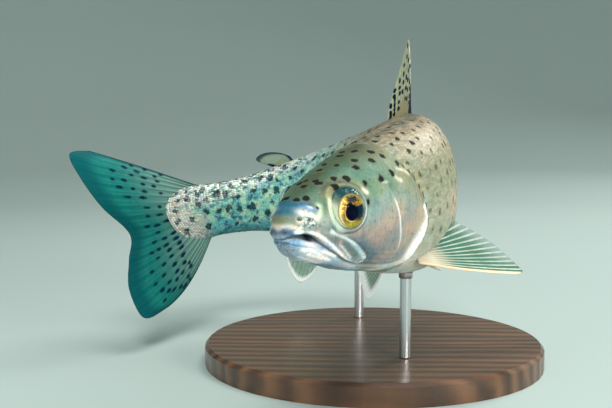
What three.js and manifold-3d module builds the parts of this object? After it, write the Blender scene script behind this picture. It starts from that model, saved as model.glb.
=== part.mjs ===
// A life-size rainbow trout in a tight turn, on a low display stand, for three.js and manifold-3d.
// Millimetres, +Z up. The origin is the middle of the base's underside; the fish heads towards -X and -Y.
import * as THREE from "three";
import { mergeVertices } from "three/addons/utils/BufferGeometryUtils.js";
import Module from "manifold-3d";

const wasm = await Module();
wasm.setup();

// ---------------------------------------------------------------- driving dimensions

const bodyLength = 310; // snout to the end of the backbone, without the tail fin
const snoutPoint = new THREE.Vector3(-8.7, -105.9, 77.1);
const gap = 0.35; // clearance between neighbouring pieces
const columns = 24; // facets round the body

// The pose. Each row is a share of the body length and an angle in degrees.
const heading = [
  [0, 54], [0.2, 58], [0.34, 76], [0.48, 94], [0.62, 125],
  [0.76, 162], [0.9, 201], [1, 226], [1.2, 245],
];
const climb = [[0, 5], [0.45, -2], [0.85, -5.5], [1.2, -12]];
const bank = [[0, 2], [0.45, -2], [0.85, -12], [1.2, -20]];

// The body's outline as shares of its length: station, back height, belly depth, half width.
const outline = [
  [0, 0.02, 0.024, 0.019],
  [0.03, 0.034, 0.035, 0.03],
  [0.07, 0.05, 0.05, 0.044],
  [0.12, 0.067, 0.065, 0.055],
  [0.18, 0.083, 0.078, 0.062],
  [0.22, 0.092, 0.086, 0.065],
  [0.3, 0.106, 0.098, 0.068],
  [0.4, 0.117, 0.107, 0.069],
  [0.47, 0.121, 0.11, 0.067],
  [0.55, 0.116, 0.106, 0.061],
  [0.65, 0.098, 0.096, 0.05],
  [0.72, 0.078, 0.084, 0.042],
  [0.8, 0.055, 0.071, 0.032],
  [0.87, 0.0385, 0.0615, 0.024],
  [0.92, 0.0345, 0.06, 0.019],
  [0.96, 0.0375, 0.062, 0.015],
  [1, 0.0415, 0.066, 0.01],
];
const noseShare = 0.03; // the snout is rounded over this share of the length
const backRoundness = 2.2; // superellipse exponents of the section above and below the midline
const bellyRoundness = 2.3;

// Where the head ends: degrees round the body, from the throat up to the nape, and the station there.
const gillEdge = [
  [-90, 0.16], [-50, 0.19], [-30, 0.208], [-10, 0.22],
  [10, 0.21], [30, 0.192], [50, 0.182], [90, 0.178],
];

// Each eye is an oblate ball: its radii across and through, how far its middle lies under the skin, and how
// many degrees it looks forward and up.
const eye = { station: 0.079, height: 0.0165, across: 7.2, depth: 4.4, sunk: 2.6, forward: 18, up: 4 };
const mouthGap = 1; // the mouth is a little open
const plateThickness = 1.4; // the bony plates of the face, let into the head
const plateProud = 0.3;

const trunkCuts = [0.37, 0.56, 0.76]; // where the body is divided behind the head
const finRootLift = 0.5; // fins start this far clear of the back or belly line

const stand = {
  centre: { x: 32.9, y: 23.3 },
  radius: { x: 80, y: 72 },
  thickness: 10,
  bevel: 1.5,
  rodRadius: 2.5,
  rodStations: { stand_rod_front: 0.36, stand_rod_rear: 0.64 },
  rodReach: 6, // how far a rod's blank goes into the belly before it is cut to it
};

// ---------------------------------------------------------------- curves and the bent body

// A monotone cubic through rows of [x, y], straight beyond its ends.
function smoothCurve(rows) {
  const x = rows.map((row) => row[0]);
  const y = rows.map((row) => row[1]);
  const last = x.length - 1;
  const step = x.slice(1).map((value, i) => value - x[i]);
  const rise = step.map((value, i) => (y[i + 1] - y[i]) / value);
  const slope = x.map((_, i) => {
    if (i === 0) return rise[0];
    if (i === last) return rise[last - 1];
    if (rise[i - 1] * rise[i] <= 0) return 0;
    const before = 2 * step[i] + step[i - 1];
    const after = step[i] + 2 * step[i - 1];
    return (before + after) / (before / rise[i - 1] + after / rise[i]);
  });
  return (at) => {
    let i = 0;
    while (i < last - 1 && at > x[i + 1]) i += 1;
    const t = (at - x[i]) / step[i];
    if (t < 0) return y[0] + slope[0] * (at - x[0]);
    if (t > 1) return y[last] + slope[last] * (at - x[last]);
    const a = y[i] * (1 + 2 * t) * (1 - t) ** 2 + slope[i] * step[i] * t * (1 - t) ** 2;
    const b = y[i + 1] * (3 - 2 * t) * t ** 2 - slope[i + 1] * step[i] * t ** 2 * (1 - t);
    return a + b;
  };
}

const headingAt = smoothCurve(heading);
const climbAt = smoothCurve(climb);
const bankAt = smoothCurve(bank);
const backAt = smoothCurve(outline.map((row) => [row[0], row[1]]));
const bellyAt = smoothCurve(outline.map((row) => [row[0], row[2]]));
const halfWidthAt = smoothCurve(outline.map((row) => [row[0], row[3]]));

// The spine's tailward, leftward and upward directions at a station.
function directionsAt(station) {
  const turn = THREE.MathUtils.degToRad(headingAt(station));
  const rise = THREE.MathUtils.degToRad(climbAt(station));
  const roll = THREE.MathUtils.degToRad(bankAt(station));
  const level = Math.cos(rise);
  const tail = new THREE.Vector3(Math.cos(turn) * level, Math.sin(turn) * level, Math.sin(rise));
  const left = new THREE.Vector3(Math.sin(turn), -Math.cos(turn), 0).applyAxisAngle(tail, -roll);
  const up = new THREE.Vector3().crossVectors(left, tail);
  return { tail, left, up };
}

const spineSteps = 240;
const spineEnd = 1.2;
const spinePoints = [snoutPoint.clone()];
for (let i = 0; i < spineSteps; i += 1) {
  const middle = directionsAt(((i + 0.5) * spineEnd) / spineSteps);
  const next = spinePoints[i].clone().addScaledVector(middle.tail, (bodyLength * spineEnd) / spineSteps);
  spinePoints.push(next);
}

// The place that is `left` and `up` millimetres off the spine at a station.
function place(station, left, up) {
  const at = THREE.MathUtils.clamp((station / spineEnd) * spineSteps, 0, spineSteps);
  const i = Math.min(Math.floor(at), spineSteps - 1);
  const side = directionsAt(station);
  const point = spinePoints[i].clone().lerp(spinePoints[i + 1], at - i);
  if (station < 0) point.addScaledVector(side.tail, station * bodyLength);
  return point.addScaledVector(side.left, left).addScaledVector(side.up, up);
}

// How full the section is in the rounded snout, from 0 at its tip to 1.
function noseFill(station) {
  const t = THREE.MathUtils.clamp(station / noseShare, 0, 1);
  return Math.sqrt(1 - (1 - t) ** 2);
}

// The section's left and up offsets at an angle, 0 on the left flank and a quarter turn on the back.
function sectionAt(station, angle, outward = 0) {
  const across = Math.cos(angle);
  const above = Math.sin(angle);
  const power = 2 / (above > 0 ? backRoundness : bellyRoundness);
  const height = above > 0 ? backAt(station) : bellyAt(station);
  const fill = noseFill(station) * bodyLength;
  const wide = Math.max(halfWidthAt(station) * fill + outward, 0.2);
  const tall = Math.max(height * fill + outward, 0.2);
  return {
    left: Math.sign(across) * Math.abs(across) ** power * wide,
    up: Math.sign(above) * Math.abs(above) ** power * tall,
  };
}

// The body's half width at a height above the spine, in millimetres.
function halfWidthAtHeight(station, up) {
  const tall = (up > 0 ? backAt(station) : bellyAt(station)) * bodyLength * noseFill(station);
  const power = up > 0 ? backRoundness : bellyRoundness;
  const inside = 1 - Math.min(Math.abs(up) / tall, 1) ** power;
  return halfWidthAt(station) * bodyLength * noseFill(station) * inside ** (1 / power);
}

// ---------------------------------------------------------------- solids

// A three.js geometry as a manifold-3d solid: shared vertices are merged, and the faces end up pointing out.
function solidOf(geometry) {
  const bare = new THREE.BufferGeometry();
  const flat = geometry.index ? geometry.toNonIndexed() : geometry;
  bare.setAttribute("position", flat.getAttribute("position"));
  const merged = mergeVertices(bare, 1e-3);
  const vertProperties = merged.getAttribute("position").array;
  const triVerts = new Uint32Array(merged.index.array);
  const made = new wasm.Manifold(new wasm.Mesh({ numProp: 3, vertProperties, triVerts }));
  if (made.volume() > 0) return made;
  for (let i = 0; i < triVerts.length; i += 3) {
    [triVerts[i + 1], triVerts[i + 2]] = [triVerts[i + 2], triVerts[i + 1]];
  }
  return new wasm.Manifold(new wasm.Mesh({ numProp: 3, vertProperties, triVerts }));
}

function geometryOf(solid) {
  const mesh = solid.getMesh();
  const geometry = new THREE.BufferGeometry();
  geometry.setAttribute("position", new THREE.BufferAttribute(new Float32Array(mesh.vertProperties), 3));
  geometry.setIndex(new THREE.BufferAttribute(new Uint32Array(mesh.triVerts), 1));
  geometry.computeVertexNormals();
  return geometry;
}

// The largest body of a solid, so that a boolean leaves no crumbs.
function mainBody(solid) {
  return solid.decompose().sort((a, b) => b.volume() - a.volume())[0];
}

// Moves every vertex of a geometry to where `to(x, y, z)` puts it.
function reshape(geometry, to) {
  const position = geometry.getAttribute("position");
  for (let i = 0; i < position.count; i += 1) {
    const moved = to(position.getX(i), position.getY(i), position.getZ(i));
    position.setXYZ(i, moved.x, moved.y, moved.z);
  }
  return geometry;
}

// A length of the body: a capped cylinder bent onto it. `from` and `to` give its ends at each angle, and
// `crowd` over 1 draws the rows of facets towards its front.
function bodyLoft({ from, to, rows, outward = 0, crowd = 1 }) {
  const middleOf = (end) => (end(0) + end(Math.PI / 2)) / 2;
  const cylinder = new THREE.CylinderGeometry(1, 1, 1, columns, rows);
  const bent = reshape(cylinder, (x, y, z) => {
    const share = (0.5 - y) ** crowd;
    if (Math.hypot(x, z) < 0.5) return place(THREE.MathUtils.lerp(middleOf(from), middleOf(to), share), 0, 0);
    const angle = Math.atan2(z, x);
    const station = THREE.MathUtils.lerp(from(angle), to(angle), share);
    const offset = sectionAt(station, angle, outward);
    return place(station, offset.left, offset.up);
  });
  return solidOf(bent);
}

// A side-view outline in shares of the body length, pushed through the head between two distances off the
// spine in millimetres, positive on the left.
function sideCutter(points, fromLeft, toLeft, curved = false) {
  const shape = new THREE.Shape();
  const corners = points.map(([station, up]) => new THREE.Vector2(station * bodyLength, up * bodyLength));
  shape.moveTo(corners[0].x, corners[0].y);
  if (curved) shape.splineThru([...corners.slice(1), corners[0]]);
  else corners.slice(1).forEach((corner) => shape.lineTo(corner.x, corner.y));
  const pushed = new THREE.ExtrudeGeometry(shape, {
    depth: toLeft - fromLeft,
    bevelEnabled: false,
    curveSegments: 2,
    steps: 1,
  });
  return solidOf(reshape(pushed, (x, y, z) => place(x / bodyLength, fromLeft + z, y)));
}

// ---------------------------------------------------------------- the head

const nearSnout = 0.0006; // the rounded snout starts with a tiny flat
const gapShare = gap / bodyLength;
const gillCurve = smoothCurve(gillEdge);

// The head's end at an angle round the body, the same on both flanks.
function gillStation(angle) {
  return gillCurve(THREE.MathUtils.radToDeg(Math.asin(Math.sin(angle))));
}

// Side-view outlines in shares of the body length: station and height over the spine.
const jawOutline = [
  [-0.03, -0.01], [0.004, -0.008], [0.02, -0.0065], [0.03, -0.011], [0.055, -0.0295],
  [0.085, -0.046], [0.105, -0.054], [0.122, -0.068], [0.13, -0.12], [-0.03, -0.12],
];
const rearOfMouth = 0.11;
const pastCheek = 40; // millimetres off the spine, well outside the head
const maxillaOutline = [
  [0.029, -0.003], [0.06, -0.011], [0.09, -0.0265], [0.109, -0.043],
  [0.104, -0.0505], [0.083, -0.0425], [0.055, -0.0265], [0.032, -0.01],
];
const gillCoverOutline = [
  [0.145, 0.034], [0.17, 0.05], [0.2, 0.05], [0.245, 0.02],
  [0.245, -0.025], [0.222, -0.055], [0.18, -0.066], [0.145, -0.05],
];

// A clockwise outline grown outwards by the same amount at every corner, to cut clearance round a plate.
function grown(points, by) {
  return points.map(([x, y], i) => {
    const before = points.at(i - 1);
    const after = points[(i + 1) % points.length];
    const along = new THREE.Vector2(after[0] - before[0], after[1] - before[1]).normalize();
    return [x - along.y * by, y + along.x * by];
  });
}

function headLoft(outward) {
  return bodyLoft({ from: () => nearSnout, to: gillStation, rows: 11, outward, crowd: 1.5 });
}

// What lies deeper than `depth` under the face, run on behind the head so that it has no end there.
function underFace(depth) {
  const to = (angle) => gillStation(angle) + 0.012;
  return bodyLoft({ from: () => 0.02, to, rows: 10, outward: -depth, crowd: 1.2 });
}

// One eye as an oblate ball facing out, a little forwards and up. `side` is 1 on the left.
function eyeball(side, clearance) {
  const { tail, left, up } = directionsAt(eye.station);
  const height = eye.height * bodyLength;
  const surface = halfWidthAtHeight(eye.station, height);
  const centre = place(eye.station, side * (surface - eye.sunk), height);
  const ball = new THREE.SphereGeometry(1, 16, 8);
  ball.scale(eye.across + clearance, eye.across + clearance, eye.depth + clearance);
  const outwards = left.clone().multiplyScalar(side);
  outwards.addScaledVector(tail, -Math.tan(THREE.MathUtils.degToRad(eye.forward)));
  outwards.addScaledVector(up, Math.tan(THREE.MathUtils.degToRad(eye.up)));
  const turned = new THREE.Quaternion().setFromUnitVectors(new THREE.Vector3(0, 0, 1), outwards.normalize());
  ball.applyQuaternion(turned);
  ball.translate(centre.x, centre.y, centre.z);
  return solidOf(ball);
}

function headPieces() {
  const whole = headLoft(0);
  const layer = headLoft(plateProud).subtract(underFace(plateThickness));
  const pocketFloor = underFace(plateThickness + gap);
  const pieces = {};
  let core = whole;
  for (const [side, word] of [[1, "left"], [-1, "right"]]) {
    const reach = side > 0 ? [1, pastCheek] : [-pastCheek, -1];
    for (const [name, points] of [["maxilla", maxillaOutline], ["gill_cover", gillCoverOutline]]) {
      const plate = layer.intersect(sideCutter(points, ...reach, true));
      pieces[`${name}_${word}`] = mainBody(plate);
      core = core.subtract(sideCutter(grown(points, gapShare), ...reach, true).subtract(pocketFloor));
    }
    pieces[`eye_${word}`] = eyeball(side, 0);
    core = core.subtract(eyeball(side, gap));
  }
  const jawCut = jawOutline.map(([station, up]) => {
    if (station > rearOfMouth) return [station - gapShare, up];
    return [station, up - mouthGap / bodyLength];
  });
  pieces.lower_jaw = mainBody(core.intersect(sideCutter(jawCut, -pastCheek, pastCheek)));
  pieces.head = mainBody(core.subtract(sideCutter(jawOutline, -pastCheek, pastCheek)));
  return pieces;
}

// ---------------------------------------------------------------- the trunk

function trunkPieces() {
  const ends = [...trunkCuts, 1];
  const names = ["trunk_front", "trunk_middle", "trunk_rear", "tail_stalk"];
  const rows = [7, 7, 8, 9];
  const pieces = {};
  names.forEach((name, i) => {
    const from = i === 0 ? gillStation : () => ends[i - 1];
    pieces[name] = bodyLoft({ from: (angle) => from(angle) + gapShare, to: () => ends[i], rows: rows[i] });
  });
  return pieces;
}

// ---------------------------------------------------------------- the fins

// A fin is a fan of rays: `root(a)` and `tip(a)` are a ray's ends, with a from 0 at the leading ray to 1 at
// the last, and `sweep(a)` bends it between them. A box is bent so that x runs across the rays and y along.
function rayFan({ root, tip, sweep, side, thickness, across, along }) {
  const box = new THREE.BoxGeometry(1, 1, 1, across, along, 1);
  const bent = reshape(box, (x, y, z) => {
    const a = x + 0.5;
    const t = y + 0.5;
    const half = THREE.MathUtils.lerp(thickness[0], thickness[1], t) / 2;
    const point = root(a).lerp(tip(a), t);
    return point.addScaledVector(sweep(a), 4 * t * (1 - t)).addScaledVector(side(a), 2 * z * half);
  });
  return solidOf(bent);
}

function spline(points) {
  return new THREE.SplineCurve(points.map(([station, up]) => new THREE.Vector2(station, up)));
}

// A fin on the midline. `root` and `margin` hold [station, height over the spine] along them, as shares.
function midlineFin({ root, margin, thickness, across, along, sweep = () => 0 }) {
  const rootCurve = spline(root);
  const marginCurve = spline(margin);
  const onMidline = (point) => place(point.x, 0, point.y * bodyLength);
  const mean = (root[0][0] + root.at(-1)[0]) / 2;
  return rayFan({
    root: (a) => onMidline(rootCurve.getPoint(a)),
    tip: (a) => onMidline(marginCurve.getPoint(a)),
    sweep: (a) => directionsAt(mean).up.multiplyScalar(sweep(a)),
    side: (a) => directionsAt(THREE.MathUtils.lerp(root[0][0], root.at(-1)[0], a)).left,
    thickness,
    across,
    along,
  });
}

// The root of a fin along the back or the belly, just clear of it. `rise` is 1 for the back.
function rootAlong(from, to, rise) {
  const edge = rise > 0 ? backAt : bellyAt;
  const lift = finRootLift / bodyLength;
  return [from, (from + to) / 2, to].map((station) => [station, rise * (edge(station) + lift)]);
}

const dorsalFin = {
  root: rootAlong(0.457, 0.575, 1),
  margin: [
    [0.466, 0.158], [0.483, 0.212], [0.501, 0.238], [0.52, 0.228],
    [0.545, 0.19], [0.566, 0.152], [0.576, 0.125],
  ],
  thickness: [2, 0.7],
  across: 10,
  along: 6,
};
const analFin = {
  root: rootAlong(0.705, 0.785, -1),
  margin: [
    [0.716, -0.109], [0.737, -0.136], [0.76, -0.156], [0.777, -0.159],
    [0.79, -0.146], [0.799, -0.122], [0.797, -0.09],
  ],
  thickness: [2, 0.7],
  across: 9,
  along: 6,
};
const adiposeFin = {
  root: rootAlong(0.777, 0.812, 1),
  margin: [
    [0.784, 0.0675], [0.8, 0.075], [0.82, 0.078], [0.835, 0.075],
    [0.842, 0.068], [0.838, 0.062], [0.826, 0.0575],
  ],
  thickness: [2, 1],
  across: 7,
  along: 4,
};
// The tail fin's rays start inside the tail stalk, which is then cut out of it.
const tailFin = {
  root: [[0.945, 0.0315], [0.95, -0.012], [0.945, -0.057]],
  margin: [
    [1.13, 0.135], [1.168, 0.139], [1.167, 0.098], [1.15, 0.043], [1.117, -0.013],
    [1.14, -0.05], [1.166, -0.09], [1.167, -0.135], [1.145, -0.149], [1.095, -0.148],
  ],
  sweep: (a) => THREE.MathUtils.lerp(0.5, -4.5, a),
  thickness: [3, 0.7],
  across: 22,
  along: 8,
};

// The paired fins: where they join the body, and their first and last rays in millimetres towards the tail,
// the fish's left and its back. Each fin has its own numbers, because the fish holds a pair unevenly.
const pectoral = { station: 0.23, up: -0.06, rootWidth: 8, sweep: 1 };
const pelvic = { station: 0.495, up: -0.1, rootWidth: 6, sweep: 1 };
const pairedFins = {
  pectoral_fin_left: { ...pectoral, lead: [40.5, 28, -9], last: [22, 2.5, 8.5] },
  pectoral_fin_right: { ...pectoral, lead: [42, -25, -9], last: [21, -3, 8] },
  pelvic_fin_left: { ...pelvic, lead: [17, 16, -7.5], last: [17, 4, -4] },
  pelvic_fin_right: { ...pelvic, lead: [13.5, -5, -20], last: [17, -8, -7] },
};
const rootSunk = 3; // a paired fin starts this far inside the body, which is then cut out of it

function pairedFin({ station, up, lead, last, rootWidth, sweep }) {
  const directions = directionsAt(station);
  const turned = ([t, l, u]) => {
    const vector = directions.tail.clone().multiplyScalar(t);
    return vector.addScaledVector(directions.left, l).addScaledVector(directions.up, u);
  };
  const height = up * bodyLength;
  const flank = Math.sign(lead[1]) * (halfWidthAtHeight(station, height) - rootSunk);
  const foot = place(station, flank, height);
  const first = turned(lead);
  const final = turned(last);
  const face = new THREE.Vector3().crossVectors(first, final).normalize();
  const spread = new THREE.Vector3().crossVectors(face, first.clone().add(final)).normalize();
  const root = (a) => foot.clone().addScaledVector(spread, (a - 0.5) * rootWidth);
  const tip = (a) => {
    const reach = first.clone().lerp(final, a).normalize();
    const length = THREE.MathUtils.lerp(first.length(), final.length(), a ** 1.4);
    const corner = 0.1 * Math.max(1 - a / 0.1, 0) ** 2 + 0.15 * Math.max(1 - (1 - a) / 0.15, 0) ** 2;
    return root(a).addScaledVector(reach, length * (1 - corner) + rootSunk);
  };
  const bend = (a) => spread.clone().multiplyScalar(-sweep * (1 - a));
  return rayFan({ root, tip, sweep: bend, side: () => face, thickness: [1.8, 0.7], across: 10, along: 7 });
}

function finPieces(body) {
  const pieces = {
    dorsal_fin: midlineFin(dorsalFin),
    anal_fin: midlineFin(analFin),
    adipose_fin: midlineFin(adiposeFin),
    caudal_fin: mainBody(midlineFin(tailFin).subtract(body)),
  };
  for (const [name, fin] of Object.entries(pairedFins)) {
    pieces[name] = mainBody(pairedFin(fin).subtract(body));
  }
  return pieces;
}

// ---------------------------------------------------------------- the stand

function standPieces(body) {
  const oval = new THREE.Shape();
  oval.absellipse(0, 0, stand.radius.x - stand.bevel, stand.radius.y - stand.bevel, 0, 2 * Math.PI);
  const base = new THREE.ExtrudeGeometry(oval, {
    depth: stand.thickness - stand.bevel,
    bevelThickness: stand.bevel,
    bevelSize: stand.bevel,
    bevelSegments: 1,
    curveSegments: 26,
  });
  const { x, y } = stand.centre;
  const pieces = {
    stand_base: solidOf(reshape(base, (dx, dy, z) => new THREE.Vector3(x + dx, y + dy, Math.max(z, 0)))),
  };
  for (const [name, station] of Object.entries(stand.rodStations)) {
    const belly = place(station, 0, -bellyAt(station) * bodyLength);
    const foot = stand.thickness + gap;
    const height = belly.z + stand.rodReach - foot;
    const rod = new THREE.CylinderGeometry(stand.rodRadius, stand.rodRadius, height, 16, 1);
    rod.rotateX(Math.PI / 2);
    rod.translate(belly.x, belly.y, foot + height / 2);
    pieces[name] = mainBody(solidOf(rod).subtract(body));
  }
  return pieces;
}

// ---------------------------------------------------------------- the whole model

const finishes = [
  [/^eye/, { color: 0xd9a21e, roughness: 0.1, metalness: 0.2 }],
  [/_fin/, { color: 0xa9ada0, roughness: 0.45, metalness: 0 }],
  [/^(maxilla|gill_cover|lower_jaw)/, { color: 0xc9c6bd, roughness: 0.3, metalness: 0.25 }],
  [/^stand_base/, { color: 0x4a3020, roughness: 0.45, metalness: 0 }],
  [/^stand_rod/, { color: 0xb8b8b4, roughness: 0.3, metalness: 1 }],
  [/^(head|trunk|tail_stalk)/, { color: 0x9aa08a, roughness: 0.35, metalness: 0.15 }],
];

const bodyWithGap = bodyLoft({ from: () => nearSnout, to: () => 1, rows: 36, outward: gap });
const solids = { ...headPieces(), ...trunkPieces(), ...finPieces(bodyWithGap), ...standPieces(bodyWithGap) };

const trout = new THREE.Group();
for (const [name, solid] of Object.entries(solids)) {
  const [, finish] = finishes.find(([pattern]) => pattern.test(name));
  const mesh = new THREE.Mesh(geometryOf(solid), new THREE.MeshStandardMaterial(finish));
  mesh.name = name;
  trout.add(mesh);
}

export default trout;
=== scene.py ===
import math
from functools import partial, reduce

import bmesh
import bpy
import numpy as np
from mathutils import Matrix, Vector


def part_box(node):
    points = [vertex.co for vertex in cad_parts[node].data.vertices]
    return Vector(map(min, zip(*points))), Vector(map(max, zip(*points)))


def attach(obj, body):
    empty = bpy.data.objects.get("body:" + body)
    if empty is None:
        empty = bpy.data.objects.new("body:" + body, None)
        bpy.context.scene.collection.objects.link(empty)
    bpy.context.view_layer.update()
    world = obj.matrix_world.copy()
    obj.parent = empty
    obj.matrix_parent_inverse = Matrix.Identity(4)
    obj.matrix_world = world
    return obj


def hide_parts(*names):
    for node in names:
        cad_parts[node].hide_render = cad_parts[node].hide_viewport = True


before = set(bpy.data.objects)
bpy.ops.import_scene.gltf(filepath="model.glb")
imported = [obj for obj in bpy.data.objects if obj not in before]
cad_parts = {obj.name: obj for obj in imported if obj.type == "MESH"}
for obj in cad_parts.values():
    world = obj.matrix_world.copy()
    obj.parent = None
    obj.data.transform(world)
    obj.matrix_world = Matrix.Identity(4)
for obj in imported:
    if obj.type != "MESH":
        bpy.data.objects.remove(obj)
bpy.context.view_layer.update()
mm = 0.001

# the body's own shape, as the solids have it: stations run from 0 at the snout to 1 at the tail's root
body = {
    "length": 310.0,
    "snout": (-8.7, -105.9, 77.1),
    "heading": [(0, 54), (0.2, 58), (0.34, 76), (0.48, 94), (0.62, 125), (0.76, 162), (0.9, 201), (1, 226),
                (1.2, 245)],
    "climb": [(0, 5), (0.45, -2), (0.85, -5.5), (1.2, -12)],
    "bank": [(0, 2), (0.45, -2), (0.85, -12), (1.2, -20)],
    "outline": [  # station, height of the back, depth of the belly, half width
        (0, 0.02, 0.024, 0.019), (0.03, 0.034, 0.035, 0.03), (0.07, 0.05, 0.05, 0.044),
        (0.12, 0.067, 0.065, 0.055), (0.18, 0.083, 0.078, 0.062), (0.22, 0.092, 0.086, 0.065),
        (0.3, 0.106, 0.098, 0.068), (0.4, 0.117, 0.107, 0.069), (0.47, 0.121, 0.11, 0.067),
        (0.55, 0.116, 0.106, 0.061), (0.65, 0.098, 0.096, 0.05), (0.72, 0.078, 0.084, 0.042),
        (0.8, 0.055, 0.071, 0.032), (0.87, 0.0385, 0.0615, 0.024), (0.92, 0.0345, 0.06, 0.019),
        (0.96, 0.0375, 0.062, 0.015), (1, 0.0415, 0.066, 0.01)],
    "noseShare": 0.03,
    "backRoundness": 2.2,
    "bellyRoundness": 2.3,
    "spineSteps": 240,
    "spineEnd": 1.2,
}
size = body["length"]


def smoothCurve(rows):  # through rows of (at, value) without overshooting them, and straight beyond the ends
    x = np.array([row[0] for row in rows], float)
    y = np.array([row[1] for row in rows], float)
    step = np.diff(x)
    rise = np.diff(y) / step
    slope = np.concatenate([rise[:1], np.zeros(len(x) - 2), rise[-1:]])
    for i in range(1, len(x) - 1):
        if rise[i - 1] * rise[i] > 0:
            before = 2 * step[i] + step[i - 1]
            after = step[i] + 2 * step[i - 1]
            slope[i] = (before + after) / (before / rise[i - 1] + after / rise[i])

    def valueAt(at):
        at = np.asarray(at, float)
        i = np.clip(np.searchsorted(x, at, side="right") - 1, 0, len(step) - 1)
        t = (at - x[i]) / step[i]
        start = y[i] * (1 + 2 * t) * (1 - t) ** 2 + slope[i] * step[i] * t * (1 - t) ** 2
        end = y[i + 1] * (3 - 2 * t) * t ** 2 - slope[i + 1] * step[i] * t ** 2 * (1 - t)
        before = y[0] + slope[0] * (at - x[0])
        after = y[-1] + slope[-1] * (at - x[-1])
        return np.where(t < 0, before, np.where(t > 1, after, start + end))

    return valueAt


headingAt = smoothCurve(body["heading"])
climbAt = smoothCurve(body["climb"])
bankAt = smoothCurve(body["bank"])
backAt, bellyAt, halfWidthAt = (smoothCurve([(row[0], row[k]) for row in body["outline"]]) for k in (1, 2, 3))


def rampUp(value, low, high):  # an eased step from 0 at low to 1 at high
    t = np.clip((value - low) / (high - low), 0, 1)
    return t * t * (3 - 2 * t)


def rampDown(value, low, high):
    return 1 - rampUp(value, low, high)


def between(value, low, lowEnd, high, highEnd):  # 1 in the middle, with an eased step at each end
    return rampUp(value, low, lowEnd) * rampDown(value, high, highEnd)


def bump(value, width):  # a soft bump of height 1 round zero
    return np.exp(-(value / width) ** 2)


def unit(arrows):
    return arrows / np.maximum(np.linalg.norm(arrows, axis=-1, keepdims=True), 1e-12)


def directionsAt(station):  # towards the tail, the left and the back
    turn, rise, roll = (np.radians(curve(station)) for curve in (headingAt, climbAt, bankAt))
    level = np.cos(rise)
    tail = np.stack([np.cos(turn) * level, np.sin(turn) * level, np.sin(rise)], -1)
    flat = np.stack([np.sin(turn), -np.cos(turn), np.zeros_like(turn)], -1)
    left = flat * np.cos(roll)[..., None] - np.cross(tail, flat) * np.sin(roll)[..., None]
    return tail, left, np.cross(left, tail)


stepLength = body["spineEnd"] / body["spineSteps"]
middles = directionsAt((np.arange(body["spineSteps"]) + 0.5) * stepLength)[0]
spine = np.vstack([[0, 0, 0], np.cumsum(middles * size * stepLength, 0)]) + np.array(body["snout"])
spineStations = np.arange(body["spineSteps"] + 1) * stepLength


def place(station, left, up):  # in metres; left and up are millimetres off the spine
    tail, leftward, upward = directionsAt(station)
    point = np.stack([np.interp(station, spineStations, spine[:, k]) for k in range(3)], -1)
    point = point + tail * (np.minimum(station, 0) * size)[..., None]
    return (point + leftward * left[..., None] + upward * up[..., None]) * mm


def noseFill(station):  # the snout is round: its sections grow as a ball's do
    t = np.clip(station / body["noseShare"], 0, 1)
    return np.sqrt(1 - (1 - t) ** 2)


def sectionAt(station, angle, outward=0.0):  # left and up of a point on the body's section, in millimetres
    across, above = np.cos(angle), np.sin(angle)
    power = 2 / np.where(above > 0, body["backRoundness"], body["bellyRoundness"])
    height = np.where(above > 0, backAt(station), bellyAt(station))
    fill = noseFill(station) * size
    wide = np.maximum(halfWidthAt(station) * fill + outward, 0.02)
    tall = np.maximum(height * fill + outward, 0.02)
    left = np.sign(across) * np.abs(across) ** power * wide
    return left, np.sign(above) * np.abs(above) ** power * tall


def halfWidthAtHeight(station, up):
    rounded = np.where(up > 0, body["backRoundness"], body["bellyRoundness"])
    tall = np.where(up > 0, backAt(station), bellyAt(station)) * size * noseFill(station)
    inside = 1 - np.minimum(np.abs(up) / tall, 1) ** rounded
    return halfWidthAt(station) * size * noseFill(station) * inside ** (1 / rounded)


# girth shares run round the body at an even pace: 0 on the belly, 0.25 left, 0.5 on the back, 0.75 right
girthStations = np.concatenate([np.linspace(0.002, 0.06, 30), np.linspace(0.065, 1.05, 120)])
girthShares = np.linspace(0, 1, 241)


def girthTable():
    turns = np.radians(np.linspace(-90, 270, 1441))
    table = []
    for station in girthStations:
        left, up = sectionAt(np.full_like(turns, station), turns)
        run = np.concatenate([[0], np.cumsum(np.hypot(np.diff(left), np.diff(up)))])
        table.append(np.interp(girthShares, run / run[-1], turns))
    return np.array(table)


girthAngles = girthTable()


def angleAt(station, share):  # read between the table's four nearest places
    row = np.interp(station, girthStations, np.arange(len(girthStations)))
    column = np.clip(share, 0, 1) * (len(girthShares) - 1)
    r = np.minimum(row.astype(int), len(girthStations) - 2)
    c = np.minimum(column.astype(int), len(girthShares) - 2)
    fr, fc = row - r, column - c
    near = girthAngles[r, c] * (1 - fc) + girthAngles[r, c + 1] * fc
    far = girthAngles[r + 1, c] * (1 - fc) + girthAngles[r + 1, c + 1] * fc
    return near * (1 - fr) + far * fr


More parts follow.
